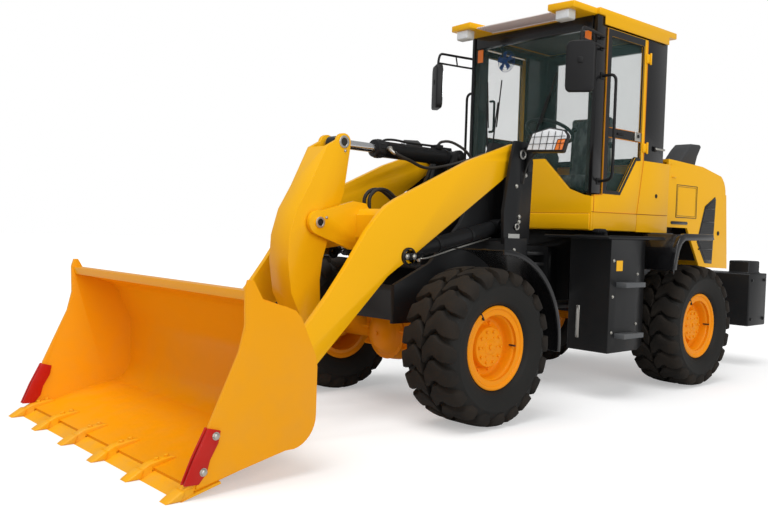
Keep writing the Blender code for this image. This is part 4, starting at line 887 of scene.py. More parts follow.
# ---------------------------------------------------------------- linkage
ARM_OUTER = 0.44
arm_bits = []
for sign in (1, -1):
    face = sign * ARM_OUTER
    for centre, radius in ((LIFT_PIVOT, 0.052), (BUCKET_PIN, 0.046)):
        arm_bits += pin_cap(across(centre, face), outward(sign), radius, YELLOW, CHARCOAL)
    collar = lathe([(0, 0), (0, 0.056), (0.018, 0.056), (0.023, 0.050), (0.023, 0)], CHARCOAL, 36)
    arm_bits.append(turned_to(collar, across(LIFT_EYE, face - sign * 0.001), outward(sign)))
    keeper = slab(rectangle(LIFT_EYE.y - AXLE_Y - 0.052, LIFT_EYE.z - 0.022, LIFT_EYE.y - AXLE_Y + 0.052,
        LIFT_EYE.z + 0.022), *sorted((face + sign * 0.020, face + sign * 0.028)), "X", CHARCOAL, 0.004)
    arm_bits.append(keeper)
    arm_bits += bolts([across(LIFT_EYE, face + sign * 0.028) + Vector((0, dy, 0))
        for dy in (-0.030, 0.030)], outward(sign), 0.014, 0.010, STEEL)
    arm_bits += bolts([across(BUCKET_PIN, face) + Vector((0, 0.055, 0.035))], outward(sign), 0.008, 0.008,
        STEEL)
    arm_bits += pin_cap(across(LEVER_PIN, sign * 0.152), outward(sign), 0.034, STEEL, CHARCOAL)
    arm_bits += bolts([across(LEVER_PIN, sign * 0.142) + Vector((0, 0.055, 0.030))], outward(sign), 0.008,
        0.008, STEEL)
dressed("lift_arms", YELLOW, 0.005, arm_bits)

lever_bits = []
for sign in (1, -1):
    for centre, radius in ((LEVER_TOP, 0.040), (Vector((0, AXLE_Y - 0.80, 0.47)), 0.038)):
        lever_bits += pin_cap(across(centre, sign * 0.100), outward(sign), radius, STEEL, SEAL)
    lever_bits += bolts([across(LEVER_TOP, sign * 0.1) + Vector((0, 0.010, -0.055))], outward(sign),
        0.008, 0.008, STEEL)
lever_pins = [turned_to(lathe([(-0.098, 0), (-0.098, r), (0.098, r), (0.098, 0)], STEEL, 32), centre,
    (1, 0, 0)) for centre, r in ((Vector((0, LEVER_TOP.y, LEVER_TOP.z)), 0.022),
    (Vector((0, AXLE_Y - 0.80, 0.47)), 0.029))]
dressed("bellcrank", YELLOW, 0.005, lever_bits + lever_pins)
dressed("tilt_link", YELLOW, 0.004)


def eye(centre, half, outer, inner, finish):
    """A ring for a pin, with softened edges."""
    profile = [(-half, inner), (-half, outer - 0.004), (-half + 0.004, outer), (half - 0.004, outer),
        (half, outer - 0.004), (half, inner)]
    return turned_to(lathe(profile, finish, 40, True), centre, (1, 0, 0))


def barrel_meshes(base, heading, radius, length, eye_outer, eye_half, pin_radius, rod_radius):
    """A cylinder's tube, its screwed gland and its base eye."""
    start = eye_outer * 0.6
    end = length + 0.012
    body = lathe([(start, 0), (start, radius * 0.75), (start + 0.012, radius), (length - 0.075, radius),
        (length - 0.070, radius + 0.003), (length - 0.060, radius + 0.003),
        (length - 0.058, radius + 0.006), (length - 0.008, radius + 0.006), (end - 0.006, radius + 0.003),
        (end, radius * 0.85), (end, rod_radius + 0.002), (end - 0.03, rod_radius + 0.002),
        (end - 0.03, 0)], CHARCOAL, 48)
    lobe = lathe([(length - 0.050, 0), (length - 0.050, 0.006), (length - 0.012, 0.006),
        (length - 0.012, 0)], CHARCOAL, 8)
    lobe.transform(Matrix.Translation((0, radius + 0.003, 0)))
    collar = lathe([(start + 0.03, radius), (start + 0.03, radius + 0.004),
        (start + 0.05, radius + 0.004), (start + 0.05, radius)], CHARCOAL, 48)
    return [turned_to(mesh, base, heading) for mesh in (body, ring(lobe, 14, CHARCOAL),
        collar)] + [eye(base, eye_half, eye_outer, pin_radius, CHARCOAL)]


def rod_meshes(tip, heading, radius, length, eye_outer, eye_half, pin_radius):
    """A chromed rod and the black eye on its end."""
    shaft = lathe([(-length, 0), (-length, radius), (-eye_outer * 0.9, radius), (-eye_outer * 0.9, 0)],
        CHROME, 40)
    neck = lathe([(-eye_outer - 0.030, 0), (-eye_outer - 0.030, radius + 0.005),
        (-eye_outer * 0.5, radius + 0.010), (-eye_outer * 0.5, 0)], GLOSS_BLACK, 32)
    return [turned_to(shaft, tip, heading), turned_to(neck, tip, heading),
        eye(tip, eye_half, eye_outer, pin_radius, GLOSS_BLACK)]


LIFT_X = 0.34
lift_heading = (LIFT_EYE - LIFT_BASE).normalized()
lift_reach = (LIFT_EYE - LIFT_BASE).length
for side_name, sign in SIDES:
    base, tip = across(LIFT_BASE, sign * LIFT_X), across(LIFT_EYE, sign * LIFT_X)
    over = lift_heading.cross(Vector((1, 0, 0))).normalized()
    over = over if over.z > 0 else -over
    pipe_side = base - over * 0.062 + Vector((sign * 0.012, 0, 0))
    pipe = tube([pipe_side + lift_heading * 0.10, pipe_side + lift_heading * 0.45, pipe_side
        + lift_heading * 0.78, base - over * 0.052 + lift_heading * 0.80], 0.006, STEEL)
    elbow = turned_to(lathe([(0, 0), (0, 0.014), (0.022, 0.014), (0.022, 0.010), (0.030, 0.010),
        (0.030, 0)], STEEL, 12), base - over * 0.046 + lift_heading * 0.80, -over)
    clamps = [turned_to(lathe([(0, 0.050), (0, 0.054), (0.02, 0.054), (0.02, 0.050)], CHARCOAL, 40, True),
        base + lift_heading * along, lift_heading) for along in (0.30, 0.62)]
    node = f"lift_barrel_{side_name}"
    piece(node + "_skin", barrel_meshes(base, lift_heading, 0.050, 0.86, 0.05, 0.04, 0.0255, 0.028)
        + [pipe, elbow] + clamps, BODY_OF[node], (node,), 40)
    node = f"lift_rod_{side_name}"
    piece(node + "_skin", rod_meshes(tip, lift_heading, 0.0275, lift_reach - 0.26, 0.048, 0.04, 0.020),
        BODY_OF[node], (node,), 40)

tilt_heading = (LEVER_TOP - TILT_BASE).normalized()
tilt_reach = (LEVER_TOP - TILT_BASE).length
tilt_over = Vector((0, tilt_heading.z, -tilt_heading.y))
tilt_over = tilt_over if tilt_over.z > 0 else -tilt_over
clamp_box = box((-0.035, -0.03, -0.010), (0.035, 0.03, 0.022), CHARCOAL, 0.003)
clamp_box.transform(Matrix.Translation((0, -AXLE_Y, 0)))
clamp_box.transform(Matrix.Translation(TILT_BASE + tilt_heading * 0.14 + tilt_over * 0.060))
tilt_pipe = tube([TILT_BASE + tilt_heading * 0.14 + tilt_over * 0.072, TILT_BASE + tilt_heading * 0.40
    + tilt_over * 0.068, TILT_BASE + tilt_heading * 0.62 + tilt_over * 0.068, TILT_BASE
    + tilt_heading * 0.66 + tilt_over * 0.055], 0.008, CHARCOAL)
tilt_port = turned_to(lathe([(0, 0), (0, 0.014), (0.020, 0.014), (0.020, 0.018), (0.034, 0.018),
    (0.034, 0)], STEEL, 6), TILT_BASE + tilt_heading * 0.66 + Vector((0.052, 0, 0)), (1, 0, 0))
tilt_band = tube([TILT_BASE + tilt_heading * 0.66 + Vector((0.075, 0, 0)), TILT_BASE
    + tilt_heading * 0.645 + Vector((0.095, 0, -0.022)), TILT_BASE + tilt_heading * 0.635
    + Vector((0.104, 0.008, -0.030))], 0.0125, STEEL)
piece("tilt_barrel_skin", barrel_meshes(TILT_BASE, tilt_heading, 0.055, 0.73, 0.05, 0.055, 0.0255, 0.0305)
    + [clamp_box, tilt_pipe, tilt_port, tilt_band], "tilt_barrel", ("tilt_barrel",), 40)
piece("tilt_rod_skin", rod_meshes(LEVER_TOP, tilt_heading, 0.0302, tilt_reach - 0.52, 0.042, 0.04,
    0.0225), "tilt_rod", ("tilt_rod",), 40)

for side_name, sign in SIDES:
    base, tip = JOINT_AT[f"steer_turn_{side_name}"], JOINT_AT[f"steer_slide_{side_name}"]
    heading = (tip - base).normalized()
    tube_body = lathe([(0.02, 0), (0.02, 0.026), (0.028, 0.032), (0.47, 0.032), (0.475, 0.0335),
        (0.515, 0.0335), (0.52, 0.030), (0.52, 0.019), (0.50, 0.019), (0.50, 0)], CHARCOAL, 36)
    upright = (0, 0, 1)
    ring_profile = [(-0.024, 0.0185), (-0.024, 0.034), (-0.020, 0.038), (0.020, 0.038), (0.024, 0.034),
        (0.024, 0.0185)]
    node = f"steer_barrel_{side_name}"
    piece(node + "_skin", [turned_to(tube_body, base, heading),
        turned_to(lathe(ring_profile, CHARCOAL, 32, True), base, upright)], BODY_OF[node], (node,),
        40)
    reach = (tip - base).length
    rod_body = lathe([(-(reach - 0.30), 0), (-(reach - 0.30), 0.0175), (-0.02, 0.0175), (-0.02, 0)],
        CHROME, 32)
    node = f"steer_rod_{side_name}"
    piece(node + "_skin", [turned_to(rod_body, tip, heading),
        turned_to(lathe([(a, r - 0.004) for a, r in ring_profile], CHARCOAL, 32, True), tip, upright)],
        BODY_OF[node], (node,), 40)

# ---------------------------------------------------------------- bucket
CHEEK_FACE = 1.015
bucket_bits = []
cutter = [(-2.168, 0.070), (-2.120, 0.180), (-2.055, 0.305), (-1.995, 0.288), (-2.005, 0.235),
    (-2.045, 0.165), (-2.060, 0.110), (-2.098, 0.066)]
for sign in (1, -1):
    plate = slab(cutter, *sorted((sign * (CHEEK_FACE - 0.004), sign * (CHEEK_FACE + 0.010))), "X", RED, 0.002)
    inner_plate = slab(cutter, *sorted((sign * (CHEEK_FACE - 0.030), sign * (CHEEK_FACE - 0.019))), "X",
        RED, 0.002)
    bucket_bits += [plate, inner_plate]
    bucket_bits += bolts([at(sign * (CHEEK_FACE + 0.010), y, z) for y,
        z in ((-2.078, 0.118), (-2.020, 0.268))], outward(sign), 0.015, 0.013, STEEL)
    for centre in (BUCKET_PIN,):
        bucket_bits += pin_cap(across(centre, sign * 0.505), outward(sign), 0.029, STEEL, CHARCOAL)
        bucket_bits += pin_cap(across(centre, sign * 0.335), outward(-sign), 0.029, STEEL, CHARCOAL)
    bucket_bits += pin_cap(across(LINK_PIN, sign * 0.071), outward(sign), 0.029, STEEL, CHARCOAL)
# The bucket wears the darker enamel, whose colour paints in the shade inside it.
dressed("bucket", BUCKET_YELLOW_WITH_SHADE, 0.003, bucket_bits, 30)

TOOTH_COUNT = 6
TOOTH_SPAN = 0.975
shank = [(-2.170, 0.040), (-2.120, 0.066), (-2.020, 0.083), (-1.985, 0.080), (-1.990, 0.060), (-2.110, 0.030)]
point = [(-2.243, 0.002), (-2.168, 0.002), (-2.150, 0.046), (-2.172, 0.046)]
tooth_bits = []
for i in range(TOOTH_COUNT):
    x = -TOOTH_SPAN + 2 * TOOTH_SPAN * i / (TOOTH_COUNT - 1)
    tooth_bits += [slab(shank, x - 0.026, x + 0.026, "X", WORN_EDGE, 0.006, 3),
        slab(point, x - 0.036, x + 0.036, "X", WORN_EDGE, 0.008, 3)]
    tooth_bits += bolts([at(x, -2.075, 0.074), at(x, -2.025, 0.083)], (0, -0.16, 1), 0.012, 0.010, WORN_EDGE)
dressed("cutting_edge", WORN_EDGE, 0.003, tooth_bits)

# ---------------------------------------------------------------- rear frame, tanks and rear mudguards
dressed("rear_frame", CHARCOAL, 0.003)


def chequer(low_y, high_y, low_x, high_x, height):
    """Raised diamonds on a tread, in staggered rows."""
    stud = slab([(-0.009, 0), (0, -0.0035), (0.009, 0), (0, 0.0035)], 0, 0.0022, "Z", GREY_STEEL)
    stud.transform(Matrix.Translation((0, -AXLE_Y, 0)))
    stud.transform(Matrix.Rotation(math.radians(90), 4, "Y"))
    step, row_step = 0.022, 0.013
    columns, rows = int((high_y - low_y) / step), int((high_x - low_x) / row_step)
    grid = repeated(GRID, stud, GREY_STEEL, Columns=columns, Count=columns * rows, Step=step,
        Row_Step=row_step, Shift=0.5)
    grid.transform(Matrix.Rotation(math.radians(90), 4, "Y"))
    grid.transform(Matrix.Translation(at(low_x + row_step / 2, low_y + step / 2, height)))
    return grid


STEP_LEVELS = (0.47, 0.84)
TANK_OUTER = 0.85
TANK_TOP = 1.195
for side_name, sign in SIDES:
    bits = []
    for level in STEP_LEVELS:
        bits.append(box((TANK_OUTER - 0.015, 1.352, level - 0.012),
            (TANK_OUTER + 0.085, 1.608, level + 0.024), GREY_STEEL, 0.004))
        bits.append(chequer(1.358, 1.602, TANK_OUTER - 0.010, TANK_OUTER + 0.078, level + 0.024))
    bits.append(box((0.566, 1.215, TANK_TOP), (TANK_OUTER + 0.022, 1.965, TANK_TOP + 0.006), CHARCOAL, 0.002))
    bits.append(chequer(1.235, 1.945, 0.655, TANK_OUTER + 0.010, TANK_TOP + 0.006))
    gauge = box((0.578, 1.258, 0.44), (0.606, 1.2705, 0.68), STEEL, 0.004)
    glass = box((0.586, 1.255, 0.46), (0.598, 1.262, 0.66), LABEL_WHITE, 0.002)
    label = slab(rectangle(1.345, 0.945, 1.425, 1.020), TANK_OUTER, TANK_OUTER + 0.0012, "X", YELLOW)
    if sign > 0:
        bits += [gauge, glass, label]
    cap = lathe([(0, 0), (0, 0.036), (0.018, 0.036), (0.020, 0.046), (0.040, 0.046), (0.046, 0.040),
        (0.048, 0)], BLACK_PLASTIC, 36)
    knurl = lathe([(0.022, 0), (0.022, 0.004), (0.038, 0.004), (0.038, 0)], BLACK_PLASTIC, 6)
    knurl.transform(Matrix.Translation((0, 0.046, 0)))
    bits += [turned_to(mesh, at(0.745, 1.275, TANK_TOP + 0.005), (0, 0, 1))
        for mesh in (cap, ring(knurl, 18, BLACK_PLASTIC))]
    bits += bolts([at(TANK_OUTER, 1.31, z) for z in (0.50, 0.76, 1.02)], (1, 0, 0), 0.010, 0.008, STEEL)
    bits += bolts([at(TANK_OUTER, 1.63, z) for z in (0.55, 0.92)], (1, 0, 0), 0.009, 0.008, STEEL)
    if sign < 0:
        bits = [mirror_of(mesh) for mesh in bits]
    dressed(f"side_tank_{side_name}", CHARCOAL, 0.006, bits)
    flare_line = [(1.995, 0.95), (2.005, 1.02), (2.035, 1.13), (2.085, 1.20), (2.15, 1.232), (2.62, 1.236)]
    flare_under = [(2.045, 0.945), (2.055, 1.01), (2.080, 1.095), (2.115, 1.150), (2.165, 1.178),
        (2.60, 1.182)]
    flare_lip = slab(flare_line + flare_under[::-1], 0.895, 0.938, "X", GLOSS_BLACK, 0.010, 3)
    dressed(f"rear_mudguard_{side_name}", GLOSS_BLACK, 0.003,
        [flare_lip if sign > 0 else mirror_of(flare_lip)])

# ---------------------------------------------------------------- cab
CAB_HALF = 0.62
CAB_FRONT = 1.34
cab_bits = []
for sign in (1, -1):
    face = sign * (CAB_HALF + 0.0004)
    keyhole = lathe([(0, 0), (0, 0.017), (0.003, 0.017), (0.004, 0.014), (0.004, 0.006), (0.002, 0.005),
        (0.002, 0)], BLACK_PLASTIC, 28)
    cab_bits.append(turned_to(keyhole, at(face, 2.24, 1.53), outward(sign)))
    # A thin line of painted shadow along the side seam.
    cab_bits.append(tube([at(face, y, z) for y, z in ((1.345, 1.372), (2.20, 1.376), (2.42, 1.379))],
        0.0028, PAINTED_PANEL_SHADOW, False))
cab_bits.append(box((-0.612, CAB_FRONT - 0.012, 1.240), (0.612, CAB_FRONT + 0.002, 1.358), YELLOW, 0.006))
# A thin line of painted shadow along the front seam.
cab_bits.append(tube([at(-0.60, CAB_FRONT - 0.001, 1.360), at(0.60, CAB_FRONT - 0.001, 1.360)], 0.0024,
    PAINTED_PANEL_SHADOW, False))
dressed("cab_lower_body", YELLOW, 0.006, cab_bits)

frame_bits = []
for sign in (1, -1):
    frame_bits.append(slab([(2.17, 1.885), (2.21, 1.885), (2.21, 1.925),
        (2.17, 1.925)], *sorted((sign * 0.616, sign * 0.634)), "X", BLACK_PLASTIC, 0.004))
    frame_bits.append(box((min(sign * 0.628, sign * 0.642), 2.175, 1.898),
        (max(sign * 0.628, sign * 0.642), 2.315, 1.914), STEEL, 0.004))
    # The amber sticker takes the lens finish, whose emission makes it glow faintly: a painted glow, as it is no
    # lamp.
    sticker = rectangle(sign * 0.53 - 0.028, 2.610, sign * 0.53 + 0.028, 2.715)
    frame_bits.append(slab(sticker, CAB_FRONT + 0.004, CAB_FRONT + 0.010, "Y", AMBER_LENS, 0.002))
for hub_x, lean in ((0.02, 0.17), (-0.40, -0.03), (-0.36, 0.05)):
    frame_bits.append(tube([at(hub_x, CAB_FRONT + 0.004, 1.80),
        at(hub_x + lean * 0.5, CAB_FRONT - 0.012, 2.02), at(hub_x + lean, CAB_FRONT - 0.004, 2.26)],
        0.0065, BLACK_PLASTIC))
    frame_bits.append(tube([at(hub_x + lean * 0.6, CAB_FRONT + 0.008, 2.06),
        at(hub_x + lean * 1.4, CAB_FRONT + 0.008, 2.44)], 0.0055, SEAL, False))
for sign in (1, -1):
    border = sorted((sign * 0.545, sign * 0.5875))
    frame_bits.append(slab(rectangle(border[0], 1.53, border[1], 2.72), CAB_FRONT + 0.0185, CAB_FRONT
        + 0.0225, "Y", SEAL))
dressed("cab_frame", GLOSS_BLACK, 0.004, frame_bits)

roof_bits = []
for sign in (1, -1):
    lamp_body = rounded(box((sign * 0.49 - 0.065, 1.075, 2.748), (sign * 0.49 + 0.065, 1.150, 2.826),
        PALE_LINER), 0.012, 3)
    lamp_face = box((sign * 0.49 - 0.055, 1.068, 2.757), (sign * 0.49 + 0.055, 1.080, 2.817), WHITE_LENS,
        0.004)
    roof_bits += [lamp_body, lamp_face]
roof_bits.append(slab(rectangle(-0.362, 2.818, 0.362, 2.8695), 1.288, 1.299, "Y", MESHED_PANEL, 0.002))
roof_bits.append(slab(rectangle(-0.362, 1.10, 0.362, 1.299), 2.822, 2.830, "Z", MESHED_PANEL, 0.002))
roof_bits.append(box((0.45, 1.86, 2.884), (0.50, 1.90, 2.897), YELLOW, 0.004))
roof_bits.append(box((-0.50, 1.40, 2.812), (0.50, 2.26, 2.8225), LINER, 0.002))
dressed("cab_roof", YELLOW, 0.012, roof_bits)

dressed("windscreen", GLASS, 0)
dressed("rear_window", TINTED_GLASS, 0)
window_edge = [(1.525, 1.535), (1.70, 1.535), (1.91, 1.815), (1.98, 1.815), (1.98, 2.69), (1.525, 2.69)]
black_edge = [(1.475, 1.512), (1.712, 1.512), (1.922, 1.790), (1.985, 1.795), (1.985, 2.741), (1.475, 2.741)]
border_faces = [[i, (i + 1) % 6, 6 + (i + 1) % 6, 6 + i] for i in range(6)]
for side_name, sign in SIDES:
    bits = []
    for x in (CAB_HALF + 0.0008, CAB_HALF - 0.0258):
        points = [at(x + 0.0012, y, z) for y, z in black_edge + window_edge]
        rim_faces = border_faces + [[a + 12 for a in face[::-1]] for face in border_faces]
        rim_faces += [[i, (i + 1) % 6, 12 + (i + 1) % 6, 12 + i] for i in range(6)]
        rim_faces += [[6 + i, 6 + (i + 1) % 6, 18 + (i + 1) % 6, 18 + i] for i in range(6)]
        points = [at(x, y, z) for y, z in black_edge + window_edge] + points
        bits.append(shell(points, rim_faces, GLOSS_BLACK))
    outline = [at(CAB_HALF - 0.012, y, z) for y, z in window_edge]
    bits.append(tube(outline + outline[:1], 0.007, SEAL, False))
    # Lines of painted shade along the door's seams.
    edge_line = [at(CAB_HALF + 0.001, y, z) for y, z in ((1.471, 2.74), (1.471, 1.505), (1.369, 1.498),
        (1.369, 1.372), (1.952, 1.376))]
    bits.append(tube(edge_line, 0.0032, PAINTED_SEAM_SHADE, False))
    bits.append(tube([at(CAB_HALF + 0.001, y, z) for y, z in ((1.963, 1.380), (1.966, 1.40),
        (2.028, 1.775), (2.028, 2.735))], 0.0026, PAINTED_SEAM_SHADE, False))
    for x in (CAB_HALF + 0.0008, CAB_HALF - 0.0268):
        bits.append(slab([(1.527, 1.942), (1.984, 1.942), (1.984, 2.008), (1.527, 2.008)], x, x + 0.002,
            "X", GLOSS_BLACK))
    # Lines of painted shade along the edges of the window band.
    for level in (1.938, 2.012):
        bits.append(tube([at(CAB_HALF - 0.002, 1.527, level), at(CAB_HALF - 0.002, 1.984, level)], 0.0028,
            PAINTED_SEAM_SHADE, False))
    bits.append(box((CAB_HALF - 0.002, 1.865, 1.940), (CAB_HALF + 0.020, 1.945, 2.010), STEEL, 0.004))
    bits.append(turned_to(lathe([(0, 0), (0, 0.014), (0.004, 0.014), (0.005, 0.008), (0.003, 0.007),
        (0.003, 0)], BLACK_PLASTIC, 24), at(CAB_HALF + 0.020, 1.905, 1.978), (1, 0, 0)))
    bits.append(box((CAB_HALF + 0.002, 1.640, 1.966), (CAB_HALF + 0.012, 1.735, 1.984), BLACK_PLASTIC, 0.004))
    for level in (1.90, 2.60):
        bits.append(box((0.6165, 2.005, level - 0.030), (0.634, 2.045, level + 0.030), YELLOW, 0.004))
    handle = tube(bent([at(CAB_HALF - 0.026, 1.56, 2.06), at(CAB_HALF - 0.075, 1.56, 2.06),
        at(CAB_HALF - 0.075, 1.56, 2.32), at(CAB_HALF - 0.026, 1.56, 2.32)]), 0.010, BLACK_PLASTIC, False)
    bits.append(handle)
    bits.append(box((CAB_HALF - 0.0285, 1.42, 1.255), (CAB_HALF - 0.024, 1.93, 1.49), GREY_PLASTIC, 0.002))
    if sign < 0:
        bits = [mirror_of(mesh) for mesh in bits]
    dressed(f"door_{side_name}", YELLOW, 0.004, bits)
    dressed(f"door_glass_{side_name}", GLASS, 0)

# ---------------------------------------------------------------- cab inside
WHEEL_CENTRE = at(0, 1.625, 2.03)
WHEEL_AXIS = Vector((0, 0.105, 0.235)).normalized()


def torus(major, minor, finish, around=56, sides=14):
    """A ring about the X axis."""
    profile = [(minor * math.cos(2 * math.pi * i / sides), major
        + minor * math.sin(2 * math.pi * i / sides)) for i in range(sides)]
    return lathe(profile, finish, around, True)


spoke_across = Vector((1, 0, 0))
spoke_along = WHEEL_AXIS.cross(spoke_across)
hub = lathe([(-0.045, 0), (-0.045, 0.034), (-0.030, 0.045), (0.004, 0.045), (0.012, 0.036), (0.014, 0)],
    BLACK_PLASTIC, 36)
knob = lathe([(0.010, 0), (0.010, 0.010), (0.035, 0.010), (0.045, 0.022), (0.065, 0.022), (0.072, 0.012),
    (0.074, 0)], BLACK_PLASTIC, 24)
wheel_parts = [turned_to(torus(0.19, 0.014, BLACK_PLASTIC), WHEEL_CENTRE, WHEEL_AXIS),
    turned_to(hub, WHEEL_CENTRE, WHEEL_AXIS), turned_to(knob, WHEEL_CENTRE + spoke_across * 0.165
    + spoke_along * 0.09, WHEEL_AXIS)]
wheel_parts += [tube([WHEEL_CENTRE - WHEEL_AXIS * 0.012, WHEEL_CENTRE + spoke * 0.10 - WHEEL_AXIS * 0.006,
    WHEEL_CENTRE + spoke * 0.188], 0.009, BLACK_PLASTIC) for spoke in (spoke_across, -spoke_across,
    spoke_along)]
piece("steering_wheel_skin", wheel_parts, BODY_OF["steering_wheel"],
    ("steering_wheel",), 40)

console_bits = [turned_to(lathe([(0, 0), (0, 0.030), (0.006, 0.030), (0.006, 0.026), (0.003, 0.025),
    (0.003, 0)], STEEL, 32), at(x, 1.512, 1.86), (0, 0.55, 0.83)) for x in (-0.09, 0.0, 0.09)]
lever_feet = ((0.30, 1.86), (0.36, 1.88), (0.42, 1.90))
console_bits += [tube([at(x, y, 1.70), at(x, y - 0.02, 1.82), at(x, y - 0.03, 1.90)], 0.006, STEEL) for x,
    y in lever_feet]
console_bits += [turned_to(lathe([(0, 0), (0, 0.010), (0.01, 0.016), (0.035, 0.018), (0.048, 0.010),
    (0.05, 0)], BLACK_PLASTIC, 20), at(x, y - 0.03, 1.895), (0, -0.1, 1)) for x, y in lever_feet]
console_bits.append(box((0.27, 1.78, 1.30), (0.45, 2.20, 1.70), BLACK_PLASTIC, 0.015))
console_bits.append(box((-0.45, 1.90, 1.30), (-0.30, 2.22, 1.62), BLACK_PLASTIC, 0.015))
console_bits.append(box((-0.54, 1.40, 1.2605), (0.54, 2.28, 1.268), SEAL, 0.003))
FAN_BLUE = plastic("fan_plastic", (0.01, 0.06, 0.30), 0.35)
fan_at = at(-0.36, 1.46, 2.62)
fan_cage = [turned_to(torus(r, 0.0022, FAN_BLUE, 40, 6), fan_at + Vector((0, 0.02, 0)), (0, 1, 0))
    for r in (0.03, 0.05, 0.07, 0.085)]
fan_blade = slab([(-0.010, 0.012), (0.010, 0.012), (0.024, 0.075), (-0.018, 0.075)], -0.002, 0.002, "X",
    FAN_BLUE)
fan_blade.transform(Matrix.Translation((0, -AXLE_Y, 0)))
fan_cage.append(turned_to(ring(fan_blade, 5, FAN_BLUE), fan_at, (0, 1, 0)))
fan_cage.append(turned_to(lathe([(-0.05, 0), (-0.05, 0.022), (0.0, 0.026), (0.02, 0.012), (0.022, 0)],
    FAN_BLUE, 28), fan_at, (0, 1, 0)))
fan_cage.append(tube([fan_at + Vector((0, -0.03, 0.02)), fan_at + Vector((0, -0.04, 0.10)),
    at(-0.36, 1.40, 2.745)], 0.007, BLACK_PLASTIC))
dressed("console", BLACK_PLASTIC, 0.010, console_bits + fan_cage)

SEAT_COVER = Finish("seat_cover", (0.055, 0.060, 0.058), 0.28, Coat_Weight=0.8)
weave = SEAT_COVER.noise(260, 2)
crease = SEAT_COVER.noise(14, 6, (1, 1, 0.5))
# Pale grey on the crease ridges is painted highlight on the plastic cover.
SEAT_COVER.feed("Base Color", SEAT_COVER.mix(crease.above(0.53, 0.10) * 0.55, (0.050, 0.056, 0.055, 1),
    (0.30, 0.33, 0.33, 1)))
SEAT_COVER.feed("Roughness", crease * 0.25 + weave * 0.1 + 0.12)
SEAT_COVER.bump(crease * 1.0 + weave * 0.06, 0.9, 0.012)
VOXEL = 0.009
MOST_SWELL = 0.018


def cushion(name, outline, half_width, body, stands_for=()):
    """A pad: the block is remeshed, blown up by cloth and smoothed once."""
    shape = slab(outline, -half_width, half_width, "X", SEAT_COVER.material, 0.02, 3)
    obj = new_object(name + "_form", shape)
    remesh = obj.modifiers.new("remesh", "REMESH")
    remesh.mode = "VOXEL"
    remesh.voxel_size = VOXEL
    obj = new_object(name + "_form", evaluated(obj))
    before = [v.co.copy() for v in obj.data.vertices]
    cloth = obj.modifiers.new("cloth", "CLOTH")
    cloth.settings.use_pressure = True
    cloth.settings.uniform_pressure_force = 4
    cloth.settings.effector_weights.gravity = 0
    cloth.point_cache.frame_start, cloth.point_cache.frame_end = 1, 20
    for step in range(1, 21):
        bpy.context.scene.frame_set(step)
    blown = evaluated(obj)
    bpy.context.scene.frame_set(1)
    for vertex, start in zip(blown.vertices, before):
        shift = vertex.co - start
        if shift.length > MOST_SWELL:
            vertex.co = start + shift.normalized() * MOST_SWELL
    obj = new_object(name + "_form", blown)
    subdivide = obj.modifiers.new("smooth", "SUBSURF")
    subdivide.levels = subdivide.render_levels = 1
    mesh = evaluated(obj)
    mesh.materials.clear()
    mesh.materials.append(SEAT_COVER.material)
    pad = piece(name, mesh, body, stands_for, 60)
    return pad


cushion("seat_cushion", [(1.80, 1.575), (2.13, 1.575), (2.14, 1.65), (1.84, 1.68), (1.80, 1.64)], 0.225,
    BODY_OF["driver_seat"], ("driver_seat",))
cushion("seat_back", [(2.155, 1.64), (2.235, 1.64), (2.265, 2.20), (2.205, 2.225), (2.185, 2.19)], 0.205,
    BODY_OF["driver_seat"], ("driver_seat",))
bellows = [box((-0.18 + 0.012 * (i % 2), 1.88 + 0.012 * (i % 2), 1.30 + 0.035 * i),
    (0.18 - 0.012 * (i % 2), 2.20 - 0.012 * (i % 2), 1.336 + 0.035 * i), BLACK_PLASTIC, 0.008)
    for i in range(7)]
piece("seat_stand", [box((-0.20, 1.86, 1.262), (0.20, 2.24, 1.302), BLACK_PLASTIC, 0.006), *bellows,
    box((-0.20, 1.84, 1.545), (0.20, 2.20, 1.560), BLACK_PLASTIC, 0.004)], BODY_OF["driver_seat"],
    ("driver_seat",))

# ---------------------------------------------------------------- hood, cowl, engine and counterweight
MESH_BLACK = Finish("wire_mesh", (0.010, 0.010, 0.010), 0.5)
row = MESH_BLACK.make("ShaderNodeTexWave", {"bands_direction": "Z"},
    {"Vector": MESH_BLACK.place(), "Scale": 22.0})
column = MESH_BLACK.make("ShaderNodeTexWave", {"bands_direction": "Y"},
    {"Vector": MESH_BLACK.place(), "Scale": 22.0})
holes = (row * column).above(0.30, 0.10)
MESH_BLACK.feed("Base Color", MESH_BLACK.mix(holes, (0.030, 0.030, 0.031, 1), (0.002, 0.002, 0.002, 1)))
MESH_BLACK.bump(holes, 0.8, 0.003)
grille = [(3.275, 1.576), (3.096, 1.484), (2.977, 1.167), (3.132, 0.983), (3.261, 0.976), (3.291, 1.549)]
HOOD_HALF = 0.60


def inset(outline, share):
    """The same outline drawn in towards its middle."""
    mid_u = sum(u for u, v in outline) / len(outline)
    mid_v = sum(v for u, v in outline) / len(outline)
    return [(mid_u + (u - mid_u) * share, mid_v + (v - mid_v) * share) for u, v in outline]


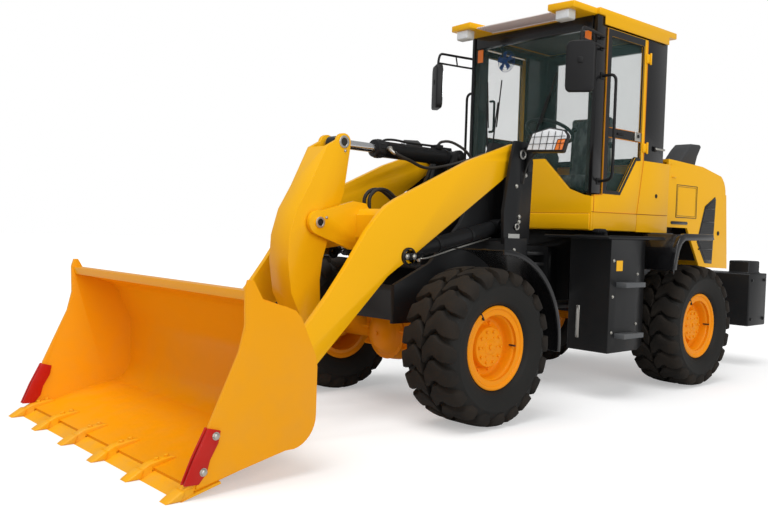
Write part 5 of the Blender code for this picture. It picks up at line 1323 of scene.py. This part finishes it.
hood_bits = []
for sign in (1, -1):
    face = sign * HOOD_HALF
    hood_bits.append(slab(grille, *sorted((face, face + sign * 0.004)), "X", GLOSS_BLACK, 0.002))
    hood_bits.append(slab(inset(grille, 0.90), *sorted((face, face + sign * 0.0065)), "X",
        MESH_BLACK.material))
    for level in (1.10, 1.22, 1.34, 1.46):
        reach = (3.005 if level < 1.2 else 3.03 if level < 1.3 else 3.07 if level < 1.4 else 3.11)
        hood_bits.append(slab([(reach, level), (3.262, level), (3.262, level + 0.012),
            (reach, level + 0.012)], *sorted((face, face + sign * 0.009)), "X", GLOSS_BLACK, 0.002))
    plate = [(2.60, 1.372), (2.945, 1.372), (2.945, 1.645), (2.60, 1.645)]
    loop = [at(face + sign * 0.0005, y, z) for y, z in plate]
    hood_bits.append(tube(loop + loop[:1], 0.004, GLOSS_BLACK, False))
    inner_loop = [at(face + sign * 0.0005, y, z) for y, z in inset(plate, 0.90)]
    hood_bits.append(tube(inner_loop + inner_loop[:1], 0.002, GLOSS_BLACK, False))
    hood_bits.append(slab([(2.53, 1.312), (2.79, 1.312), (2.80, 1.325), (2.79, 1.338), (2.53, 1.338),
        (2.52, 1.325)], *sorted((face, face + sign * 0.006)), "X", GLOSS_BLACK, 0.002))
    hood_bits.append(slab([(2.51, 1.700), (2.57, 1.700), (2.57, 1.712),
        (2.51, 1.712)], *sorted((face, face + sign * 0.010)), "X", YELLOW, 0.003))
    hood_bits.append(turned_to(lathe([(0, 0), (0, 0.020), (0.004, 0.020), (0.006, 0.014), (0.006, 0)],
        BLACK_PLASTIC, 28), at(face, 3.36, 1.25), outward(sign)))
for i in range(9):
    z = 1.02 + 0.052 * i
    hood_bits.append(box((-0.44, 3.498, z), (0.44, 3.560 - 0.0001 * i, z + 0.020), GLOSS_BLACK, 0.004))
hood_bits.append(box((-0.46, 3.495, 0.99), (0.46, 3.535, 1.50), MESH_BLACK.material, 0.004))
dressed("engine_hood", YELLOW, 0.022, hood_bits, segments=4)
dressed("exhaust_cowl", COWL_GREY, 0.020, [], segments=4)
engine_bits = [turned_to(lathe([(0, 0), (0, 0.11), (0.03, 0.11), (0.03, 0.05), (0.05, 0.05), (0.05, 0)],
    GREY_STEEL, 36), at(0, 2.56, 1.10), (0, -1, 0)), turned_to(lathe([(0, 0), (0, 0.06), (0.30, 0.06),
    (0.31, 0.05), (0.31, 0)], GREY_STEEL, 36), at(0.19, 2.75, 1.35), (0, 1, 0))]
dressed("engine_block", GREY_STEEL, 0.010, engine_bits)

weight_bits = []
for sign in (1, -1):
    middle = sign * 0.54
    weight_bits.append(box((middle - 0.085, 4.158, 0.895), (middle + 0.085, 4.166, 0.980), BLACK_PLASTIC,
        0.003))
    weight_bits.append(box((middle - 0.075, 4.164, 0.905), (middle - 0.002, 4.172, 0.970), RED_LENS, 0.003))
    weight_bits.append(box((middle + 0.002, 4.164, 0.905), (middle + 0.075, 4.172, 0.970), AMBER_LENS, 0.003))
    weight_bits += bolts([at(sign * 0.681, y, z) for y in (3.92, 4.18) for z in (0.45, 0.82)],
        outward(sign), 0.014, 0.010, CHARCOAL)
weight_bits.append(tube([at(-0.16, 4.236, 0.60), at(-0.16, 4.262, 0.58), at(0.16, 4.262, 0.58),
    at(0.16, 4.236, 0.60)], 0.012, CHARCOAL, False))
dressed("counterweight", CHARCOAL, 0.014, weight_bits)

# ---------------------------------------------------------------- mirrors and rails
MIRROR_GLASS = bare_metal("mirror_glass", (0.80, 0.82, 0.83), 0.06)
for side_name, sign in SIDES:
    post = 0.6165
    stay = tube(bent([at(post, 1.40, 2.66), at(0.64, 1.40, 2.66), at(0.66, 1.30, 2.66),
        at(0.70, 1.04, 2.66), at(0.70, 1.02, 2.60), at(0.70, 1.02, 2.40)]), 0.010, BLACK_PLASTIC, False)
    lower = tube(bent([at(post, 1.40, 2.58), at(0.64, 1.40, 2.58), at(0.66, 1.30, 2.58),
        at(0.70, 1.02, 2.58)]), 0.008, BLACK_PLASTIC, False)
    strut = tube([at(0.672, 1.20, 2.66), at(0.672, 1.22, 2.58)], 0.006, BLACK_PLASTIC, False)
    outline = [(0.625, 2.20), (0.775, 2.20), (0.795, 2.215), (0.80, 2.24), (0.80, 2.52), (0.785, 2.548),
        (0.765, 2.56), (0.635, 2.56), (0.615, 2.548), (0.60, 2.52), (0.60, 2.24), (0.605, 2.215)]
    back = slab(outline, 0.99, 1.045, "Y", BLACK_PLASTIC, 0.020, 4)
    glass = slab(inset(outline, 0.86), 1.044, 1.049, "Y", MIRROR_GLASS, 0.001)
    clamp = box((0.682, 0.984, 2.40), (0.718, 1.000, 2.44), BLACK_PLASTIC, 0.004)
    feet = [box((0.6162, 1.38, level - 0.018), (0.622, 1.42, level + 0.018), BLACK_PLASTIC, 0.002)
        for level in (2.58, 2.66)]
    node = f"mirror_{side_name}"
    turn = (Matrix.Translation(at(0.70, 1.02, 0)) @ Matrix.Rotation(math.radians(34), 4, "Z")
        @ Matrix.Translation(-at(0.70, 1.02, 0)))
    for head in (back, glass, clamp):
        head.transform(turn)
    meshes = [stay, lower, strut, back, glass, clamp, *feet]
    if sign < 0:
        meshes = [mirror_of(mesh) for mesh in meshes]
    piece(node + "_skin", meshes, BODY_OF[node], (node,))
    rail = tube(bent([at(post, 1.42, 2.38), at(0.735, 1.42, 2.38), at(0.735, 1.42, 1.61),
        at(post, 1.42, 1.60)], 0.06), 0.011, BLACK_PLASTIC, False)
    feet = [box((0.6162, 1.395, level - 0.025), (0.622, 1.445, level + 0.025), BLACK_PLASTIC, 0.002)
        for level in (1.60, 2.38)]
    node = f"grab_rail_{side_name}"
    meshes = [rail, *feet]
    if sign < 0:
        meshes = [mirror_of(mesh) for mesh in meshes]
    piece(node + "_skin", meshes, BODY_OF[node], (node,))

# ---------------------------------------------------------------- hoses across the joints
def hose(name, points, radius, start, end):
    """A hose between two bodies, drawn through points of the frame; it is fixed to neither and does not bend."""
    obj = new_object(name, smoothed(tube(points, radius, HOSE), 60))
    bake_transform(obj)
    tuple(start)
    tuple(end)


for x in (0.06, 0.11):
    route = [at(x, -0.385, 1.32), at(x, -0.375, 1.41), at(x, -0.28, 1.455), at(x, -0.15, 1.40),
        at(x, -0.02, 1.30), at(x, 0.16, 1.20)]
    hose(f"beam_hose_{round(x * 100)}", route, 0.012, route[1],
        route[-1])
port = TILT_BASE + tilt_heading * 0.66 + Vector((0.075, 0, 0))
route = [port, port + Vector((0.030, 0.03, -0.03)), at(0.10, -0.02, 1.66), at(0.10, 0.12, 1.625),
    at(0.12, 0.28, 1.645), at(0.19, 0.46, 1.70), at(0.245, 0.60, 1.745), at(0.245, 0.66, 1.70)]
hose("tilt_hose_front", route, 0.011, port, route[-1])
rear_port = TILT_BASE + tilt_heading * 0.14 + tilt_over * 0.075
route = [rear_port, rear_port + Vector((0.03, 0.02, 0.03)), at(0.10, 0.46, 1.80), at(0.14, 0.56, 1.70),
    at(0.17, 0.62, 1.55)]
hose("tilt_hose_rear", route, 0.010, rear_port, route[-1])

# ---------------------------------------------------------------- floor, light and background
FLOOR_SIZE = 60
stage_floor = new_object("floor", shell([(-FLOOR_SIZE, -FLOOR_SIZE, 0), (FLOOR_SIZE, -FLOOR_SIZE, 0),
    (FLOOR_SIZE, FLOOR_SIZE, 0), (-FLOOR_SIZE, FLOOR_SIZE, 0)], [[0, 1, 2, 3]], None))
stage_floor.data.materials.clear()
FLOOR = Finish("floor", (0.72, 0.72, 0.72), 0.9)
FLOOR.feed("Emission Color", FLOOR.make("ShaderNodeLightPath", output="Is Camera Ray"))
FLOOR.shader.inputs["Emission Strength"].default_value = 0.37
FLOOR.shader.inputs["Specular IOR Level"].default_value = 0.0
stage_floor.data.materials.append(FLOOR.material)


def add_sun(name, strength, width, turn):
    lamp = bpy.data.lights.new(name, "SUN")
    lamp.energy = strength
    lamp.angle = math.radians(width)
    obj = bpy.data.objects.new(name, lamp)
    bpy.context.scene.collection.objects.link(obj)
    obj.rotation_euler = [math.radians(angle) for angle in turn]


add_sun("key", 1.60, 40, (20, 4, 0))
add_sun("side", 1.15, 40, (68, 0, 75))
world = bpy.data.worlds.new("studio")
world.use_nodes = True
bpy.context.scene.world = world
make, join = world.node_tree.nodes.new, world.node_tree.links.new
background = world.node_tree.nodes["Background"]
path = make("ShaderNodeLightPath")
camera_or_glossy = make("ShaderNodeMath")
camera_or_glossy.operation = "MAXIMUM"
join(path.outputs["Is Camera Ray"], camera_or_glossy.inputs[0])
join(path.outputs["Is Transmission Ray"], camera_or_glossy.inputs[1])
strength = make("ShaderNodeMapRange")
join(camera_or_glossy.outputs[0], strength.inputs["Value"])
strength.inputs["To Min"].default_value = 0.40
strength.inputs["To Max"].default_value = 1.0
join(strength.outputs[0], background.inputs["Strength"])
background.inputs["Color"].default_value = (1, 1, 1, 1)
bpy.context.scene.view_settings.view_transform = "Standard"
